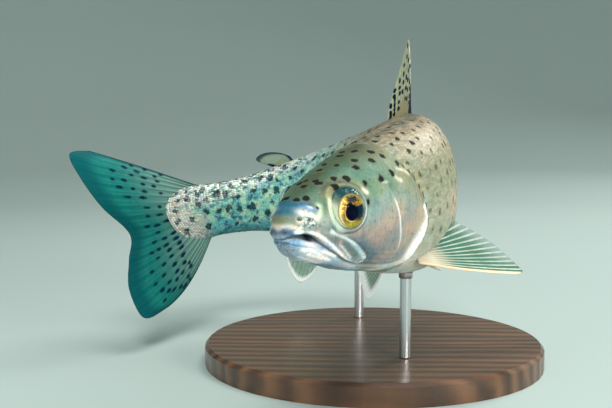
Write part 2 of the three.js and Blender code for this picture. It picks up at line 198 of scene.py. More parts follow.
# the skin's relief: what stands out of the smooth body, in millimetres
face = {
    "skinDepth": 0.45,  # the skin lies this far inside the solids
    "eye": {"station": 0.079, "height": 0.0165, "sunk": 2.6, "forward": 18, "up": 4,
            "orbit": 7.5, "orbitFront": 1.5},  # the orbit's rim, and how much further out it lies in front
    "mouth": [(-0.02, -0.0083), (0.0018, -0.0081), (0.0051, -0.0056), (0.0115, -0.0043), (0.0191, -0.0049),
              (0.027, -0.008), (0.0347, -0.0145), (0.0541, -0.0277), (0.0821, -0.0436), (0.1, -0.05),
              (0.14, -0.058)],
    "mouthEnd": 0.1,
    "maxilla": [(0.0293, -0.0029), (0.046, -0.0056), (0.0625, -0.0125), (0.0813, -0.0219), (0.0958, -0.0325),
                (0.1085, -0.043), (0.109, -0.0478), (0.102, -0.0495)],
    "lowerLip": [(0.004, -0.0128), (0.0152, -0.0158), (0.0297, -0.0212), (0.0551, -0.0347), (0.08, -0.049)],
    "cheekLine": [(0.05, 0.0005), (0.062, -0.011), (0.08, -0.019), (0.1, -0.018), (0.118, -0.006)],
    "preopercle": [(0.144, 27), (0.1486, 16.5), (0.1543, 8.2), (0.1588, -0.5), (0.161, -7.9), (0.164, -20.5),
                   (0.162, -34.5), (0.152, -46), (0.132, -56)],
    "gillEdge": [(0.175, 46), (0.1835, 38), (0.1904, 30.3), (0.2001, 19.4), (0.2092, 9.4), (0.2172, -0.6),
                 (0.2205, -8.6), (0.2175, -19.9), (0.2095, -30), (0.205, -40), (0.196, -50.5),
                 (0.176, -62), (0.148, -74), (0.12, -85), (0.108, -94)],
    "nostrils": [(0.0255, 20, 0.62), (0.0165, 32, 0.5)],  # station, degrees, radius
}

# brush strokes on each side of the head: colour, reach, strength, and places in millimetres along and above
# the spine
strokes = [
    ("khaki", 2.6, 0.9, [(1.2, 4.0), (3.8, 5.6), (6.5, 6.4), (10.5, 6.0)]),
    ("ash", 1.1, 0.6, [(4.4, 5.2), (6.0, 5.0), (7.4, 5.4)]),
    ("teal", 2.0, 1.0, [(4.9, 7.2), (6.4, 8.2), (8.2, 8.5), (9.4, 8.2)]),
    ("violet", 0.75, 0.9, [(8.2, 7.6), (9.4, 7.3), (10.6, 6.9), (11.4, 6.5)]),
    ("white", 0.35, 0.5, [(9.4, 7.9), (10.6, 7.4)]),
    # pale cream round the nostrils, partly its own colour and partly a painted highlight
    ("cream", 1.15, 0.95, [(6.9, 6.2), (7.7, 5.6), (9.0, 5.0), (10.1, 3.9)]),
    ("cream", 1.0, 0.8, [(5.4, 3.6), (7.0, 3.4), (8.8, 2.4)]),
    ("lime", 0.8, 0.7, [(13.0, 7.6), (12.4, 6.0), (11.8, 4.6)]),
    ("cream", 0.8, 0.9, [(0.3, 1.7), (1.6, 2.3), (3.2, 1.9), (4.2, 0.9), (5.2, 0.5)]),
    ("khaki", 0.6, 0.6, [(5.6, 0.6), (7.4, 0.5), (9.6, 0.2)]),
    ("slate", 1.6, 1.0, [(0.9, 0.7), (1.8, 0.1), (2.7, -0.8), (3.8, -1.3)]),
    # painted highlight on the front of the upper lip
    ("mint", 0.55, 0.95, [(3.7, 0.1), (4.6, -0.2)]),
    ("plate", 2.1, 0.95, [(12.0, -1.2), (18.0, -4.8), (22.5, -8.0), (27.0, -11.4)]),
    ("ash", 1.0, 0.8, [(8.4, 0.9), (10.6, 0.3), (13.2, -1.0), (15.4, -2.6)]),
    ("rose", 0.8, 0.35, [(18.5, -5.4), (20.0, -7.4)]),
    ("white", 0.35, 0.5, [(19.0, -6.6), (23.0, -10.0), (26.0, -12.2)]),
    # painted highlights: white along the upper lip and the maxilla's lower edge
    ("white", 0.42, 0.95, [(6.8, -0.3), (8.4, -1.0), (10.3, -1.9), (13.0, -3.9), (16.0, -6.4)]),
    ("white", 0.42, 0.95, [(16.0, -6.4), (19.6, -9.2), (23.0, -11.7), (27.0, -13.8)]),
    ("rose", 0.4, 0.5, [(9.9, -0.6), (10.6, -0.9)]),
    # painted highlight along the maxilla's upper rim
    ("mint", 0.6, 1.0, [(15.6, -1.5), (19.0, -3.1), (22.2, -5.0), (25.4, -7.5), (28.4, -9.9), (32.6, -13.2)]),
    ("teal", 2.4, 0.75, [(28.8, -7.2), (32.0, -9.6), (35.6, -12.2), (38.0, -14.6)]),
    # painted shade in the soft gap between the maxilla and the lower jaw
    ("lavender", 1.1, 0.85, [(7.0, -3.9), (9.5, -4.4), (13.0, -6.3), (16.0, -8.4)]),
    ("lavender", 1.6, 0.4, [(6.0, -8.0), (11.0, -10.6), (18.0, -13.6), (27.0, -16.4)]),
    # painted shade: darker and bluer along the underside of the jaw and throat
    ("slate", 1.5, 0.34, [(3.5, -6.6), (8.0, -9.6), (13.0, -12.4), (20.0, -15.0), (31.0, -18.2)]),
    ("teal", 2.6, 0.42, [(22.0, -17.6), (29.0, -19.4), (38.0, -21.0)]),
    ("sky", 1.6, 0.65, [(0.6, -3.2), (1.9, -3.9), (3.4, -4.6)]),
    ("ink", 0.35, 0.8, [(1.5, -3.7), (1.9, -3.9)]),
    ("white", 0.5, 0.9, [(8.0, -6.8), (12.0, -8.2), (16.0, -9.6), (20.0, -11.2)]),
    ("white", 0.4, 0.7, [(6.0, -6.6), (9.0, -8.6), (14.0, -10.9), (20.0, -13.0)]),
    ("white", 0.35, 0.6, [(7.0, -9.2), (12.0, -11.6), (18.0, -13.9)]),
    ("blush", 3.4, 0.5, [(26.0, -4.0), (33.0, -6.0), (39.0, -9.0)]),
    ("blush", 2.6, 0.45, [(41.0, -15.0), (47.0, -13.0), (53.0, -14.0)]),
    ("amber", 1.0, 0.5, [(17.0, 10.4), (21.0, 12.6), (26.5, 13.6), (31.5, 11.8)]),
    # painted highlights: pale flecks on the brow and the top of the gill cover
    ("cream", 0.7, 0.85, [(32.0, 10.6), (33.2, 9.6)]),
    ("cream", 0.7, 0.5, [(49.6, 14.2), (51.4, 12.6), (52.6, 11.8)]),
    ("cream", 0.4, 0.5, [(53.4, 16.3), (56.0, 15.2), (58.0, 13.6)]),
    ("cream", 0.4, 0.4, [(42.6, 12.2), (45.0, 12.0)]),
    ("slate", 0.9, 0.45, [(36.0, 6.4), (37.0, 5.2)]),
    ("umber", 0.5, 0.7, [(58.2, 14.4), (61.2, 9.6), (63.2, 5.8), (64.6, 2.6)]),
    # the gill cover's pale edge band in white and pink, brightened as a painted highlight
    ("white", 0.7, 1.0, [(65.2, 1.4), (67.4, -2.6), (67.6, -5.6)]),
    ("white", 2.2, 1.0, [(66.4, -7.4), (63.8, -10.8), (61.2, -14.0), (60.4, -17.6)]),
    ("petal", 1.8, 0.8, [(69.6, -9.5), (66.8, -14.0), (64.6, -17.6)]),
    ("petal", 1.3, 0.6, [(61.5, -10.6), (58.8, -14.4), (57.6, -18.0)]),
    ("white", 2.0, 1.0, [(65.9, -8.2), (63.6, -11.4), (61.4, -14.4), (60.6, -18.0)]),
    ("khaki", 3.2, 0.7, [(60.0, -22.5), (50.0, -23.5), (41.0, -21.5)]),
]
strokeColours = {
    "khaki": (0.14, 0.165, 0.095),
    "cream": (0.76, 0.73, 0.62),
    "white": (1.0, 0.98, 0.97),
    "mint": (0.72, 0.87, 0.85),
    "teal": (0.0, 0.09, 0.15),
    "violet": (0.13, 0.24, 0.45),
    "slate": (0.045, 0.1, 0.17),
    "sky": (0.2, 0.42, 0.7),
    "ink": (0.01, 0.03, 0.08),
    "lavender": (0.46, 0.5, 0.66),
    "plate": (0.11, 0.15, 0.145),
    "lime": (0.72, 0.78, 0.55),
    "rose": (0.66, 0.4, 0.36),
    "petal": (0.78, 0.6, 0.55),
    "blush": (0.29, 0.225, 0.205),
    "amber": (0.34, 0.27, 0.14),
    "umber": (0.17, 0.14, 0.1),
    "sclera": (0.5, 0.58, 0.44),
    "ash": (0.22, 0.26, 0.235),
}


def toSide(station, degrees):  # a place on the left side, seen from the side, in millimetres
    up = sectionAt(np.array([station], float), np.radians([degrees]))[1][0]
    return station * size, up


def splineAt(points, t):  # a smooth curve through the points, at shares t of the way
    p = np.array(points, float)
    at = np.clip(t, 0, 1) * (len(p) - 1)
    i = np.minimum(at.astype(int), len(p) - 2)
    w = (at - i)[:, None]
    p0, p1, p2, p3 = (p[np.clip(i + k, 0, len(p) - 1)] for k in (-1, 0, 1, 2))
    v0, v1 = (p2 - p0) / 2, (p3 - p1) / 2
    return (2 * p1 - 2 * p2 + v0 + v1) * w ** 3 + (3 * p2 - 3 * p1 - 2 * v0 - v1) * w ** 2 + v0 * w + p1


def splineThrough(points, steps=8):
    return splineAt(points, np.linspace(0, 1, (len(points) - 1) * steps + 1))


def distanceTo(line, a, b):  # signed: positive on the line's left, with the share along it
    best = np.full(a.shape, 1e9)
    signed = np.zeros(a.shape)
    along = np.zeros(a.shape)
    for i in range(len(line) - 1):
        start, run = line[i], line[i + 1] - line[i]
        t = np.clip(((a - start[0]) * run[0] + (b - start[1]) * run[1]) / (run @ run), 0, 1)
        da, db = a - start[0] - run[0] * t, b - start[1] - run[1] * t
        away = np.hypot(da, db)
        nearer = away < best
        best = np.where(nearer, away, best)
        signed = np.where(nearer, np.where(run[0] * db - run[1] * da > 0, away, -away), signed)
        along = np.where(nearer, (i + t) / (len(line) - 1), along)
    return signed, along


faceLines = {name: splineThrough([(s * size, z * size) for s, z in face[name]])
             for name in ("maxilla", "lowerLip", "cheekLine")}
for name in ("preopercle", "gillEdge"):
    faceLines[name] = splineThrough([toSide(*at) for at in face[name]])
mouthAt = smoothCurve([(s * size, z * size) for s, z in face["mouth"]])


def eyeFrame(side):  # middle in metres, and the directions towards the tail, up and out
    eye = face["eye"]
    station, height = np.array([eye["station"]]), np.array([eye["height"] * size])
    tail, left, up = (d[0] for d in directionsAt(station))
    middle = place(station, side * (halfWidthAtHeight(station, height) - eye["sunk"]), height)[0]
    forward, upward = math.tan(math.radians(eye["forward"])), math.tan(math.radians(eye["up"]))
    out = unit(side * left - tail * forward + up * upward)
    above = unit(up - out * (up @ out))
    back = np.cross(above, out) * (1 if np.cross(above, out) @ tail > 0 else -1)
    return middle, back, above, out


def painted(a, b):  # the strokes laid over each other: their colour, and how much they cover
    cover = np.zeros(a.shape)
    paint = np.zeros((len(a), 3))
    for name, reach, strength, path in strokes:
        line = splineThrough(path, 5)
        near = np.abs(a - line[:, 0].mean()) < np.ptp(line[:, 0]) / 2 + 3 * reach
        share = np.zeros(a.shape)
        share[near] = strength * bump(distanceTo(line, a[near], b[near])[0], reach) ** 0.8
        paint += share[:, None] * (np.array(strokeColours[name]) - paint)
        cover += share * (1 - cover)
    return paint / np.maximum(cover, 1e-4)[:, None], cover


# each part of the face gives its own relief, and adds its marks; a runs along the spine and b above it
def atLeast(marks, name, numbers):
    marks[name] = np.maximum(marks[name], numbers)


def mouthRelief(a, b, left, angle, marks):  # gape, lips, jaw and the groove under it
    over = b - mouthAt(a)
    low = rampUp(-np.sin(angle), 0.93, 0.99)  # near the middle of the throat
    share = a / (face["mouthEnd"] * size)
    active = rampDown(share, 0.93, 1.05)
    gape = bump(share - 0.225, 0.1)
    slack = bump(share - 0.45, 0.17)  # the soft gap between the maxilla and the lower jaw
    height = 0.32 * bump(over - 0.95, 0.75) - 0.45 * between(-over, 0.1, 0.7, 2.0, 9.0)
    height -= (0.8 + 2.2 * gape) * bump(over + 0.3 * gape, 0.3 + 0.62 * gape)
    height -= 0.55 * slack * bump(over + 1.1, 0.9)
    height *= active
    # painted shade inside the open mouth
    throat = between(over, -0.7 - 1.9 * gape, -0.2 - 1.5 * gape, 0.1, 0.5)
    atLeast(marks, "shadow", active * (0.45 + 0.55 * gape) * throat)
    lip, lipAlong = distanceTo(faceLines["lowerLip"], a, b)
    lipHere = between(lipAlong, 0.0, 0.1, 0.8, 1)
    height += lipHere * (0.22 * bump(lip - 0.5, 0.6) - 0.25 * bump(lip + 0.5, 0.4))
    jaw = rampUp(-over, 0.2, 1.2) * rampDown(a, 0.1 * size, 0.135 * size)
    atLeast(marks, "pale", 0.9 * jaw)
    # painted shade: bluish in the soft gap under the maxilla
    atLeast(marks, "blue", active * 0.75 * slack * bump(over + 1.2, 1.1))
    # the jaw tip's own bluish tint, and painted shade along the middle of the throat
    atLeast(marks, "blue", jaw * np.maximum(0.6 * rampDown(a, 2, 9) * rampUp(-over, 0, 1.5), 0.55 * low))
    atLeast(marks, "speck", 0.5 * jaw * rampDown(a, 2, 6))
    streaks = np.sin(over * 2.6 + 0.5 * np.sin(a * 0.35)) * jaw * rampUp(-over, 2, 4) * rampUp(a, 5, 14)
    height += 0.09 * streaks * (1 - low)
    height -= 0.5 * bump(left, 1.1) * rampUp(-np.sin(angle), 0.6, 0.9) * between(a, 5, 12, 40, 52)
    upperLip = active * bump(over - 1.3, 1.5) * rampDown(a, 7, 16)
    atLeast(marks, "pale", 0.2 * upperLip)
    return height + 0.15 * upperLip - 0.22 * bump(over - 3.4, 0.5) * rampDown(a, 4, 11)


def maxillaRelief(a, b, marks):  # a thin plate over the corner of the mouth
    over = b - mouthAt(a)
    edge, along = distanceTo(faceLines["maxilla"], a, b)
    plate = rampUp(-edge, -0.25, 0.3) * rampUp(over, -0.25, 0.25) * between(a, 8, 13, 33.3, 34.4)
    rim = bump(edge + 0.35, 0.42) * rampUp(along, 0.16, 0.4) * rampUp(over, -0.4, 0.3)
    lowerRim = bump(over - 0.45, 0.55) * between(a, 9, 13, 31, 34)
    # painted highlight: the maxilla's rim and the lip's edge made paler than their own colour
    atLeast(marks, "pale", np.maximum(0.95 * rim, (0.15 + 0.65 * rampUp(a, 12, 18)) * lowerRim))
    atLeast(marks, "pale", 0.2 * plate)
    # painted shade in the groove beside the maxilla's edge
    atLeast(marks, "shadow", 0.4 * bump(edge - 0.5, 0.4) * rampUp(along, 0.1, 0.3))
    atLeast(marks, "speck", 0.22 * plate)
    return 0.42 * plate + 0.16 * rim - 0.3 * bump(edge - 0.45, 0.4) * rampUp(along, 0.1, 0.3)


def gillRelief(a, b, marks):  # cheek, preopercle and gill cover, with the white band along its edge
    cheek, cheekAlong = distanceTo(faceLines["cheekLine"], a, b)
    height = -0.16 * bump(cheek, 0.55) * between(cheekAlong, 0, 0.15, 0.8, 1)
    pre, preAlong = distanceTo(faceLines["preopercle"], a, b)
    preHere = between(preAlong, 0, 0.12, 0.88, 1)
    height += preHere * (0.26 * bump(pre + 0.35, 0.5) - 0.28 * bump(pre - 0.55, 0.45))
    height += preHere * 0.14 * bump(pre + 1.6, 1.3)
    atLeast(marks, "pale", preHere * bump(pre + 0.3, 0.5) * between(preAlong, 0.08, 0.3, 0.6, 0.85))
    gill, along = distanceTo(faceLines["gillEdge"], a, b)
    here = between(along, 0.02, 0.14, 0.82, 0.95)
    inside = rampUp(-gill, -0.15, 0.4)
    groove = (1.25 - 0.6 * rampUp(along, 0.4, 0.6)) * bump(gill - 0.55, 0.62) + 0.3 * bump(gill - 1.5, 2.0)
    height += here * (0.5 * inside * rampDown(-gill, 3, 16) - groove * (1 - inside))
    band = here * bump(gill + 1.6, 1.15) * rampDown(along, 0.86, 0.98)
    height += 0.1 * band - 0.15 * here * bump(gill + 3.4, 0.6) * rampDown(along, 0.35, 0.5)
    height += 0.13 * np.sin(-gill * 3.6) * between(-gill, 0.2, 1, 7, 10) * rampUp(along, 0.7, 0.8)
    # painted shade in the groove along the gill cover's edge
    atLeast(marks, "shadow", (0.8 - 0.7 * rampUp(along, 0.3, 0.5)) * here * bump(gill - 0.5, 0.5))
    # the pale band along the gill cover's edge, its own pale colour brightened as a painted highlight
    paleAndLitBand = band * rampUp(along, 0.3, 0.5)
    atLeast(marks, "pale", 0.95 * paleAndLitBand)
    rosy = 0.9 * bump(a - 0.175 * size, 11) * bump(b + 4, 8.5)
    atLeast(marks, "blush", rosy + 0.55 * bump(a - 0.128 * size, 7) * bump(b + 3, 6))
    atLeast(marks, "blush", 0.8 * here * bump(gill + 2.2, 2.4) * rampUp(along, 0.25, 0.45))
    marks["blush"] *= 1 - 0.85 * paleAndLitBand
    return height


def eyeRelief(points, side, onSide, marks):  # the socket, the rim of the orbit and the brow
    centre, back, above, out = eyeFrame(side)
    ex, ey, ez = ((points - centre) / mm @ way for way in (back, above, out))
    near = onSide & (ez > -6)
    ring, turn = np.hypot(ex, ey), np.arctan2(ey, ex)
    high, rear = np.sin(turn), np.cos(turn)
    brow, front = rampUp(high, 0.1, 0.95), rampUp(-rear, 0.1, 0.8)
    rim = ring - face["eye"]["orbit"] - face["eye"]["orbitFront"] * front
    socket = 0.26 * bump(rim, 0.5) - 3.0 * rampDown(ring, 5.6, 6.9) - 0.55 * front * rampUp(-rim, -0.3, 0.7)
    socket += 0.3 * brow * bump(rim - 0.5, 0.9) - 0.2 * bump(rim - 1.1, 0.45)
    # painted shade: under the brow, in a thin line outside the orbit's rim, and where the ball meets the
    # socket
    shade = 0.55 * rampUp(high, 0.2, 0.8) * bump(rim - 1.3, 0.8)
    shade = np.maximum(shade, 0.5 * bump(rim - 0.85, 0.38) * (0.35 + 0.65 * rampUp(-high, 0, 0.7)))
    shade = np.maximum(shade, 0.75 * bump(ring - 6.9, 0.3) * (1 - 0.6 * front))
    atLeast(marks, "shadow", near * shade)
    light = (0.12 + 0.5 * rampUp(rear, 0.1, 0.8)) * bump(rim + 0.05, 0.32) * rampUp(-high, -0.75, 0.2)
    atLeast(marks, "pale", near * light)
    white = 0.92 * near * front * rampUp(-rim, -0.5, 0.4) * rampUp(-high, -0.8, -0.4)
    marks["paint"] += white[:, None] * (np.array(strokeColours["sclera"]) - marks["paint"])
    atLeast(marks, "cover", white)
    return near * socket


def snoutRelief(a, b, angle, marks):  # nostrils, the flap between them and the fine dark marks round them
    height = 0.12 * bump(np.hypot(a - 8.0, b - 4.4), 3.2)
    high = rampUp(np.sin(angle), -0.3, 0.0)
    for at, degrees, radius in face["nostrils"]:
        na, nb = toSide(at, degrees)
        away = np.hypot(a - na, b - nb)
        height += high * (0.22 * bump(away - radius * 1.9, radius * 0.6) - bump(away, radius))
        # painted shade in the nostrils' hollows
        atLeast(marks, "shadow", 0.85 * high * bump(away, radius * 0.85))
    snout = rampDown(a, 6, 17) * rampUp(b - mouthAt(a), 0.3, 1.5)
    # the lower snout paler, partly its own colour and partly a painted highlight
    atLeast(marks, "pale", 0.25 * snout * rampDown(b, 2.2, 5.5))
    atLeast(marks, "speck", bump(np.hypot((a - 7.4) * 0.8, b - 2.5), 2.6))
    atLeast(marks, "speck", 0.55 * bump(np.hypot(a - 9.8, b - 8.0), 2.0))
    return height


def headRelief(station, angle, points):
    left, b = sectionAt(station, angle)
    a = station * size
    # one of these marks is painted shade, for the mouth, the nostrils, the grooves and the eyes
    marks = {name: np.zeros(a.shape) for name in ("pale", "shadow", "blush", "blue", "speck")}
    marks["paint"], marks["cover"] = painted(a, b)
    height = mouthRelief(a, b, left, angle, marks) + maxillaRelief(a, b, marks) + gillRelief(a, b, marks)
    for side in (1, -1):
        height += eyeRelief(points, side, (left >= 0) == (side > 0), marks)
    height += snoutRelief(a, b, angle, marks)
    marks["cover"] = marks["cover"] * (1 - marks["shadow"]) * rampDown(station, 0.225, 0.235)
    return height, marks


def degreesUp(angle):  # from -90 on the belly to 90 on the back, alike on both sides
    line = np.degrees(angle)
    return np.where(line > 90, 180 - line, line)


def bodyRelief(station, angle):  # the lateral line, and the low ridge that carries the dorsal fin
    up = degreesUp(angle)
    lateral = bump(up - 9 + 7 * station, 1.6) * between(station, 0.2, 0.24, 0.97, 1)
    ridge = bump(up - 90, 9) * between(station, 0.45, 0.47, 0.575, 0.6)
    return 0.1 * lateral + 0.35 * ridge


tailRoot = {
    "from": 0.945,  # the tail fin's sheet runs straight from here, while the spine goes on bending
    "to": 1.147,
    "bow": 290,
    "end": 0.99,
    "reach": 0.044,
    "thinFrom": 0.93,
    "thinBy": 0.78,
}


def endStation(angle):  # the flesh reaches further over the middle of the tail fin than over its edges
    return tailRoot["end"] + tailRoot["reach"] * np.cos(angle) ** 2


def finOffset(station):  # how far the tail fin's straight sheet lies from the bending spine
    inside = np.maximum(station - tailRoot["from"], 0) * np.maximum(tailRoot["to"] - station, 0)
    return -tailRoot["bow"] * inside


def skinPlace(row, share):  # the smooth skin's places, stations and angles; it closes inside the tail fin
    angle = angleAt(np.clip(row, 0.002, 1.05), share)
    station = np.where(row > 0.9, 0.9 + (row - 0.9) * (endStation(angle) - 0.9) / 0.1, row)
    left, up = sectionAt(station, angle, -face["skinDepth"])
    thinned = np.clip((row - tailRoot["thinFrom"]) / (1 - tailRoot["thinFrom"]), 0, 1) ** 1.5
    closing = (1 - tailRoot["thinBy"] * thinned) * np.clip((1.0001 - row) / 0.0015, 0, 1)
    forward = face["skinDepth"] / size * rampDown(row, 0, 0.05)
    return place(station + forward, left * closing + finOffset(station), up), station, angle


def skinNormal(row, share):
    eps = 1e-4
    alongStep = skinPlace(row + eps, share)[0] - skinPlace(row - eps, share)[0]
    roundStep = skinPlace(row, np.clip(share + eps, 0, 1))[0] - skinPlace(row, np.clip(share - eps, 0, 1))[0]
    return unit(np.cross(alongStep, roundStep))


# markings: dark spots set by a seeded scatter over the back, and listed one by one on the head
markings = {
    "seed": 11,
    "headSpots": [  # station, degrees, radius in millimetres
        (0.147, 84, 1.3), (0.157, 69, 1.2), (0.186, 80, 1.3), (0.13, 92, 1.2), (0.126, 71, 1.2),
        (0.116, 61, 1.1), (0.105, 81, 1.0), (0.144, 58, 1.3), (0.165, 57, 1.1), (0.178, 43, 1.0),
        (0.091, 94, 1.1), (0.066, 97, 1.0), (0.064, 75, 1.2), (0.081, 65, 1.2), (0.093, 55, 1.3),
        (0.072, 53, 1.2), (0.112, 38, 1.0), (0.137, 35, 1.2), (0.16, 36, 1.1), (0.054, 90, 1.0),
        (0.037, 64, 1.2), (0.031, 101, 0.9), (0.039, 35, 0.7), (0.105, 17, 0.7)],
    "headSwell": 1.15,
    "tries": 9000,
    "closest": 4.8,
    "radius": (0.85, 1.35),
    "stalkRadius": (0.9, 2.1),
    "scalesFrom": [  # degrees, station
        (-90, 0.185), (-70, 0.196), (-50, 0.2), (-30, 0.215), (-10, 0.226), (10, 0.214), (30, 0.196),
        (50, 0.178), (70, 0.172), (90, 0.17)],
}


def gillStationAt(angle):  # where the body's scales begin behind the gill cover
    return np.interp(degreesUp(angle), *zip(*markings["scalesFrom"]))


def shareRow(row):
    return int(round(float(np.interp(row, girthStations, np.arange(len(girthStations))))))


def spotScatter():  # the spots' middles and radii, in metres
    draw = np.random.default_rng(markings["seed"])
    rows, shares, radii = [], [], []
    for station, degrees, radius in markings["headSpots"]:
        for side in (1, -1):
            row = station + (0 if side > 0 else draw.uniform(-0.004, 0.004))
            turn = math.radians(degrees if side > 0 else 180 - degrees + draw.uniform(-3, 3))
            if side < 0 and 84 < degrees < 96:
                continue
            rows.append(row)
            shares.append(float(np.interp(turn, girthAngles[shareRow(row)], girthShares)))
            radii.append(radius * markings["headSwell"])
    tryRows = draw.uniform(0.19, 0.99, markings["tries"])
    tryShares = draw.uniform(0.02, 0.98, markings["tries"])
    luck = draw.uniform(0, 1, markings["tries"])
    grade = draw.uniform(0, 1, markings["tries"])
    tone = np.abs(tryShares - 0.5) * 2
    stalk = rampUp(tryRows, 0.7, 0.85)
    wanted = np.clip(1.2 - (tone / (0.62 + 0.2 * stalk)) ** 3, 0, 1)
    kept = list(skinPlace(np.array(rows), np.array(shares))[0])
    spots = skinPlace(tryRows, tryShares)[0]
    offHead = tryRows > gillStationAt(angleAt(tryRows, tryShares)) + 0.006
    for i in np.flatnonzero((luck < wanted) & offHead):
        room = (markings["closest"] + 3.4 * tone[i] - 1.2 * stalk[i] + 1.8 * (1 - grade[i]) ** 2) * mm
        if np.min(np.linalg.norm(np.array(kept) - spots[i], axis=1)) > room:
            kept.append(spots[i])
            small, large = (np.array(markings["radius"]) * (1 - stalk[i])
                            + np.array(markings["stalkRadius"]) * stalk[i])
            radii.append(small + (large - small) * grade[i])
    return np.array(kept), np.array(radii) * mm


def nearestSpot(points, centres, radii):  # millimetres to the nearest spot's edge, negative inside it
    field = np.empty(len(points))
    square = np.sum(centres ** 2, axis=1)
    for part in np.array_split(np.arange(len(points)), max(1, len(points) // 6000)):
        near = points[part]
        away = np.sum(near ** 2, axis=1)[:, None] + square[None] - 2 * near @ centres.T
        field[part] = np.min(np.sqrt(np.maximum(away, 0)) - radii[None], axis=1)
    return np.clip(field / mm, -3, 4)


spotCentres, spotRadii = spotScatter()
print("markings:", len(spotRadii), "spots")


# mesh helpers

def placed(name, data):  # a new object in the scene
    piece = bpy.data.objects.new(name, data)
    bpy.context.scene.collection.objects.link(piece)
    return piece


def closeShell(shell, mesh):  # smooth faces, and back into the mesh
    for item in shell.faces:
        item.smooth = True
    shell.to_mesh(mesh)
    shell.free()
    return mesh


def finishMesh(piece, weld=0.0):
    shell = bmesh.new()
    shell.from_mesh(piece.data)
    if weld:
        bmesh.ops.remove_doubles(shell, verts=shell.verts, dist=weld)
        bmesh.ops.dissolve_degenerate(shell, edges=shell.edges, dist=weld)
    bmesh.ops.recalc_face_normals(shell, faces=shell.faces)
    closeShell(shell, piece.data)


def lathed(name, profile, steps):
    shell = bmesh.new()
    corners = [shell.verts.new((x, 0, z)) for x, z in profile]
    for low, high in zip(corners, corners[1:]):
        shell.edges.new((low, high))
    bmesh.ops.spin(shell, geom=shell.verts[:] + shell.edges[:], cent=(0, 0, 0), axis=(0, 0, 1),
                   angle=math.tau, steps=steps, use_merge=True)
    bmesh.ops.remove_doubles(shell, verts=shell.verts, dist=1e-4)
    bmesh.ops.recalc_face_normals(shell, faces=shell.faces)
    return placed(name, closeShell(shell, bpy.data.meshes.new(name)))


def pointsOf(mesh):
    flat = np.empty(len(mesh.vertices) * 3)
    mesh.vertices.foreach_get("co", flat)
    return flat.reshape(-1, 3)


def gridMesh(name, across, along):  # a flat sheet with its map, and each vertex's shares across and along
    sheet = bmesh.new()
    sheet.loops.layers.uv.new("OFBake")
    bmesh.ops.create_grid(sheet, x_segments=across, y_segments=along, size=1, calc_uvs=True)
    piece = placed(name, closeShell(sheet, bpy.data.meshes.new(name)))
    shares = (pointsOf(piece.data) + 1) / 2
    return piece, shares[:, 0], shares[:, 1]


def setPoints(piece, points):
    piece.data.vertices.foreach_set("co", np.ascontiguousarray(points, np.float32).ravel())
    piece.data.update()


def setValues(piece, values):  # numbers that the materials read, one or three for each vertex
    for name, numbers in values.items():
        kind, key = ("FLOAT_VECTOR", "vector") if np.ndim(numbers) == 2 else ("FLOAT", "value")
        layer = piece.data.attributes.new(name, kind, "POINT")
        layer.data.foreach_set(key, np.ascontiguousarray(numbers, np.float32).ravel())


# node helpers: an input that is a socket is linked, anything else is a plain value

def setInputs(node, inputs):
    for name, item in inputs.items():
        if isinstance(item, bpy.types.NodeSocket):
            node.id_data.links.new(item, node.inputs[name])
        else:
            node.inputs[name].default_value = item
    return node


def add(tree, kind, inputs=None, **settings):
    node = tree.nodes.new(kind)
    for name, item in settings.items():
        setattr(node, name, item)
    return setInputs(node, inputs or {})


def treeOf(*items):
    return next(item.id_data for item in items if isinstance(item, bpy.types.NodeSocket))


def value(tree, name):
    return add(tree, "ShaderNodeAttribute", attribute_name=name).outputs["Fac"]


def vector(tree, name):
    return add(tree, "ShaderNodeAttribute", attribute_name=name).outputs["Vector"]


def objectCoords(tree):
    return add(tree, "ShaderNodeTexCoord").outputs["Object"]


def stretched(coords, scale, turn=0.0):
    inputs = {"Vector": coords, "Scale": scale, "Rotation": (0, 0, turn)}
    return add(coords.id_data, "ShaderNodeMapping", inputs).outputs[0]


def maths(operation, *numbers):
    return add(treeOf(*numbers), "ShaderNodeMath", dict(enumerate(numbers)), operation=operation).outputs[0]


def chained(operation, *numbers):  # two at a time, from the left
    return reduce(partial(maths, operation), numbers)


times, plus, minus, larger = (partial(chained, name) for name in ("MULTIPLY", "ADD", "SUBTRACT", "MAXIMUM"))


def rest(share, part=1.0):  # what is left of 1
    return minus(1.0, times(share, part))


def farFrom(number, middle):
    return maths("ABSOLUTE", minus(number, middle))


def ranged(number, low, high, outLow=0.0, outHigh=1.0, kind="SMOOTHSTEP"):
    inputs = {"Value": number, "From Min": low, "From Max": high, "To Min": outLow, "To Max": outHigh}
    return add(number.id_data, "ShaderNodeMapRange", inputs, interpolation_type=kind).outputs["Result"]


def noise(coords, scale, detail, rough=0.5):
    inputs = {"Vector": coords, "Scale": scale, "Detail": detail, "Roughness": rough}
    return add(coords.id_data, "ShaderNodeTexNoise", inputs).outputs["Fac"]


def patches(coords, scale, detail, *limits):  # noise between two limits, and what they become
    return ranged(noise(coords, scale, detail), *limits)


def mixed(share, first, second, blend="MIX"):
    colours = [item if isinstance(item, bpy.types.NodeSocket) else (*item, 1) for item in (first, second)]
    node = add(treeOf(share, first, second), "ShaderNodeMix", data_type="RGBA", blend_type=blend)
    return setInputs(node, {0: share, 6: colours[0], 7: colours[1]}).outputs[2]


def tinted(share, colour, tint):
    return mixed(share, colour, tint, "MULTIPLY")


def layered(colour, layers):  # each layer is how much of it shows, and its colour
    for share, over in layers:
        colour = mixed(share, colour, over)
    return colour


def ramp(number, stops):
    node = add(number.id_data, "ShaderNodeValToRGB", {"Fac": number})
    band = node.color_ramp
    while len(band.elements) < len(stops):
        band.elements.new(0.5)
    for element, (at, colour) in zip(band.elements, stops):
        element.position = at
        element.color = (*colour, 1)
    return node.outputs["Color"]


def bumpNode(height, distance, strength):
    inputs = {"Height": height, "Distance": distance, "Strength": strength}
    return add(height.id_data, "ShaderNodeBump", inputs).outputs["Normal"]


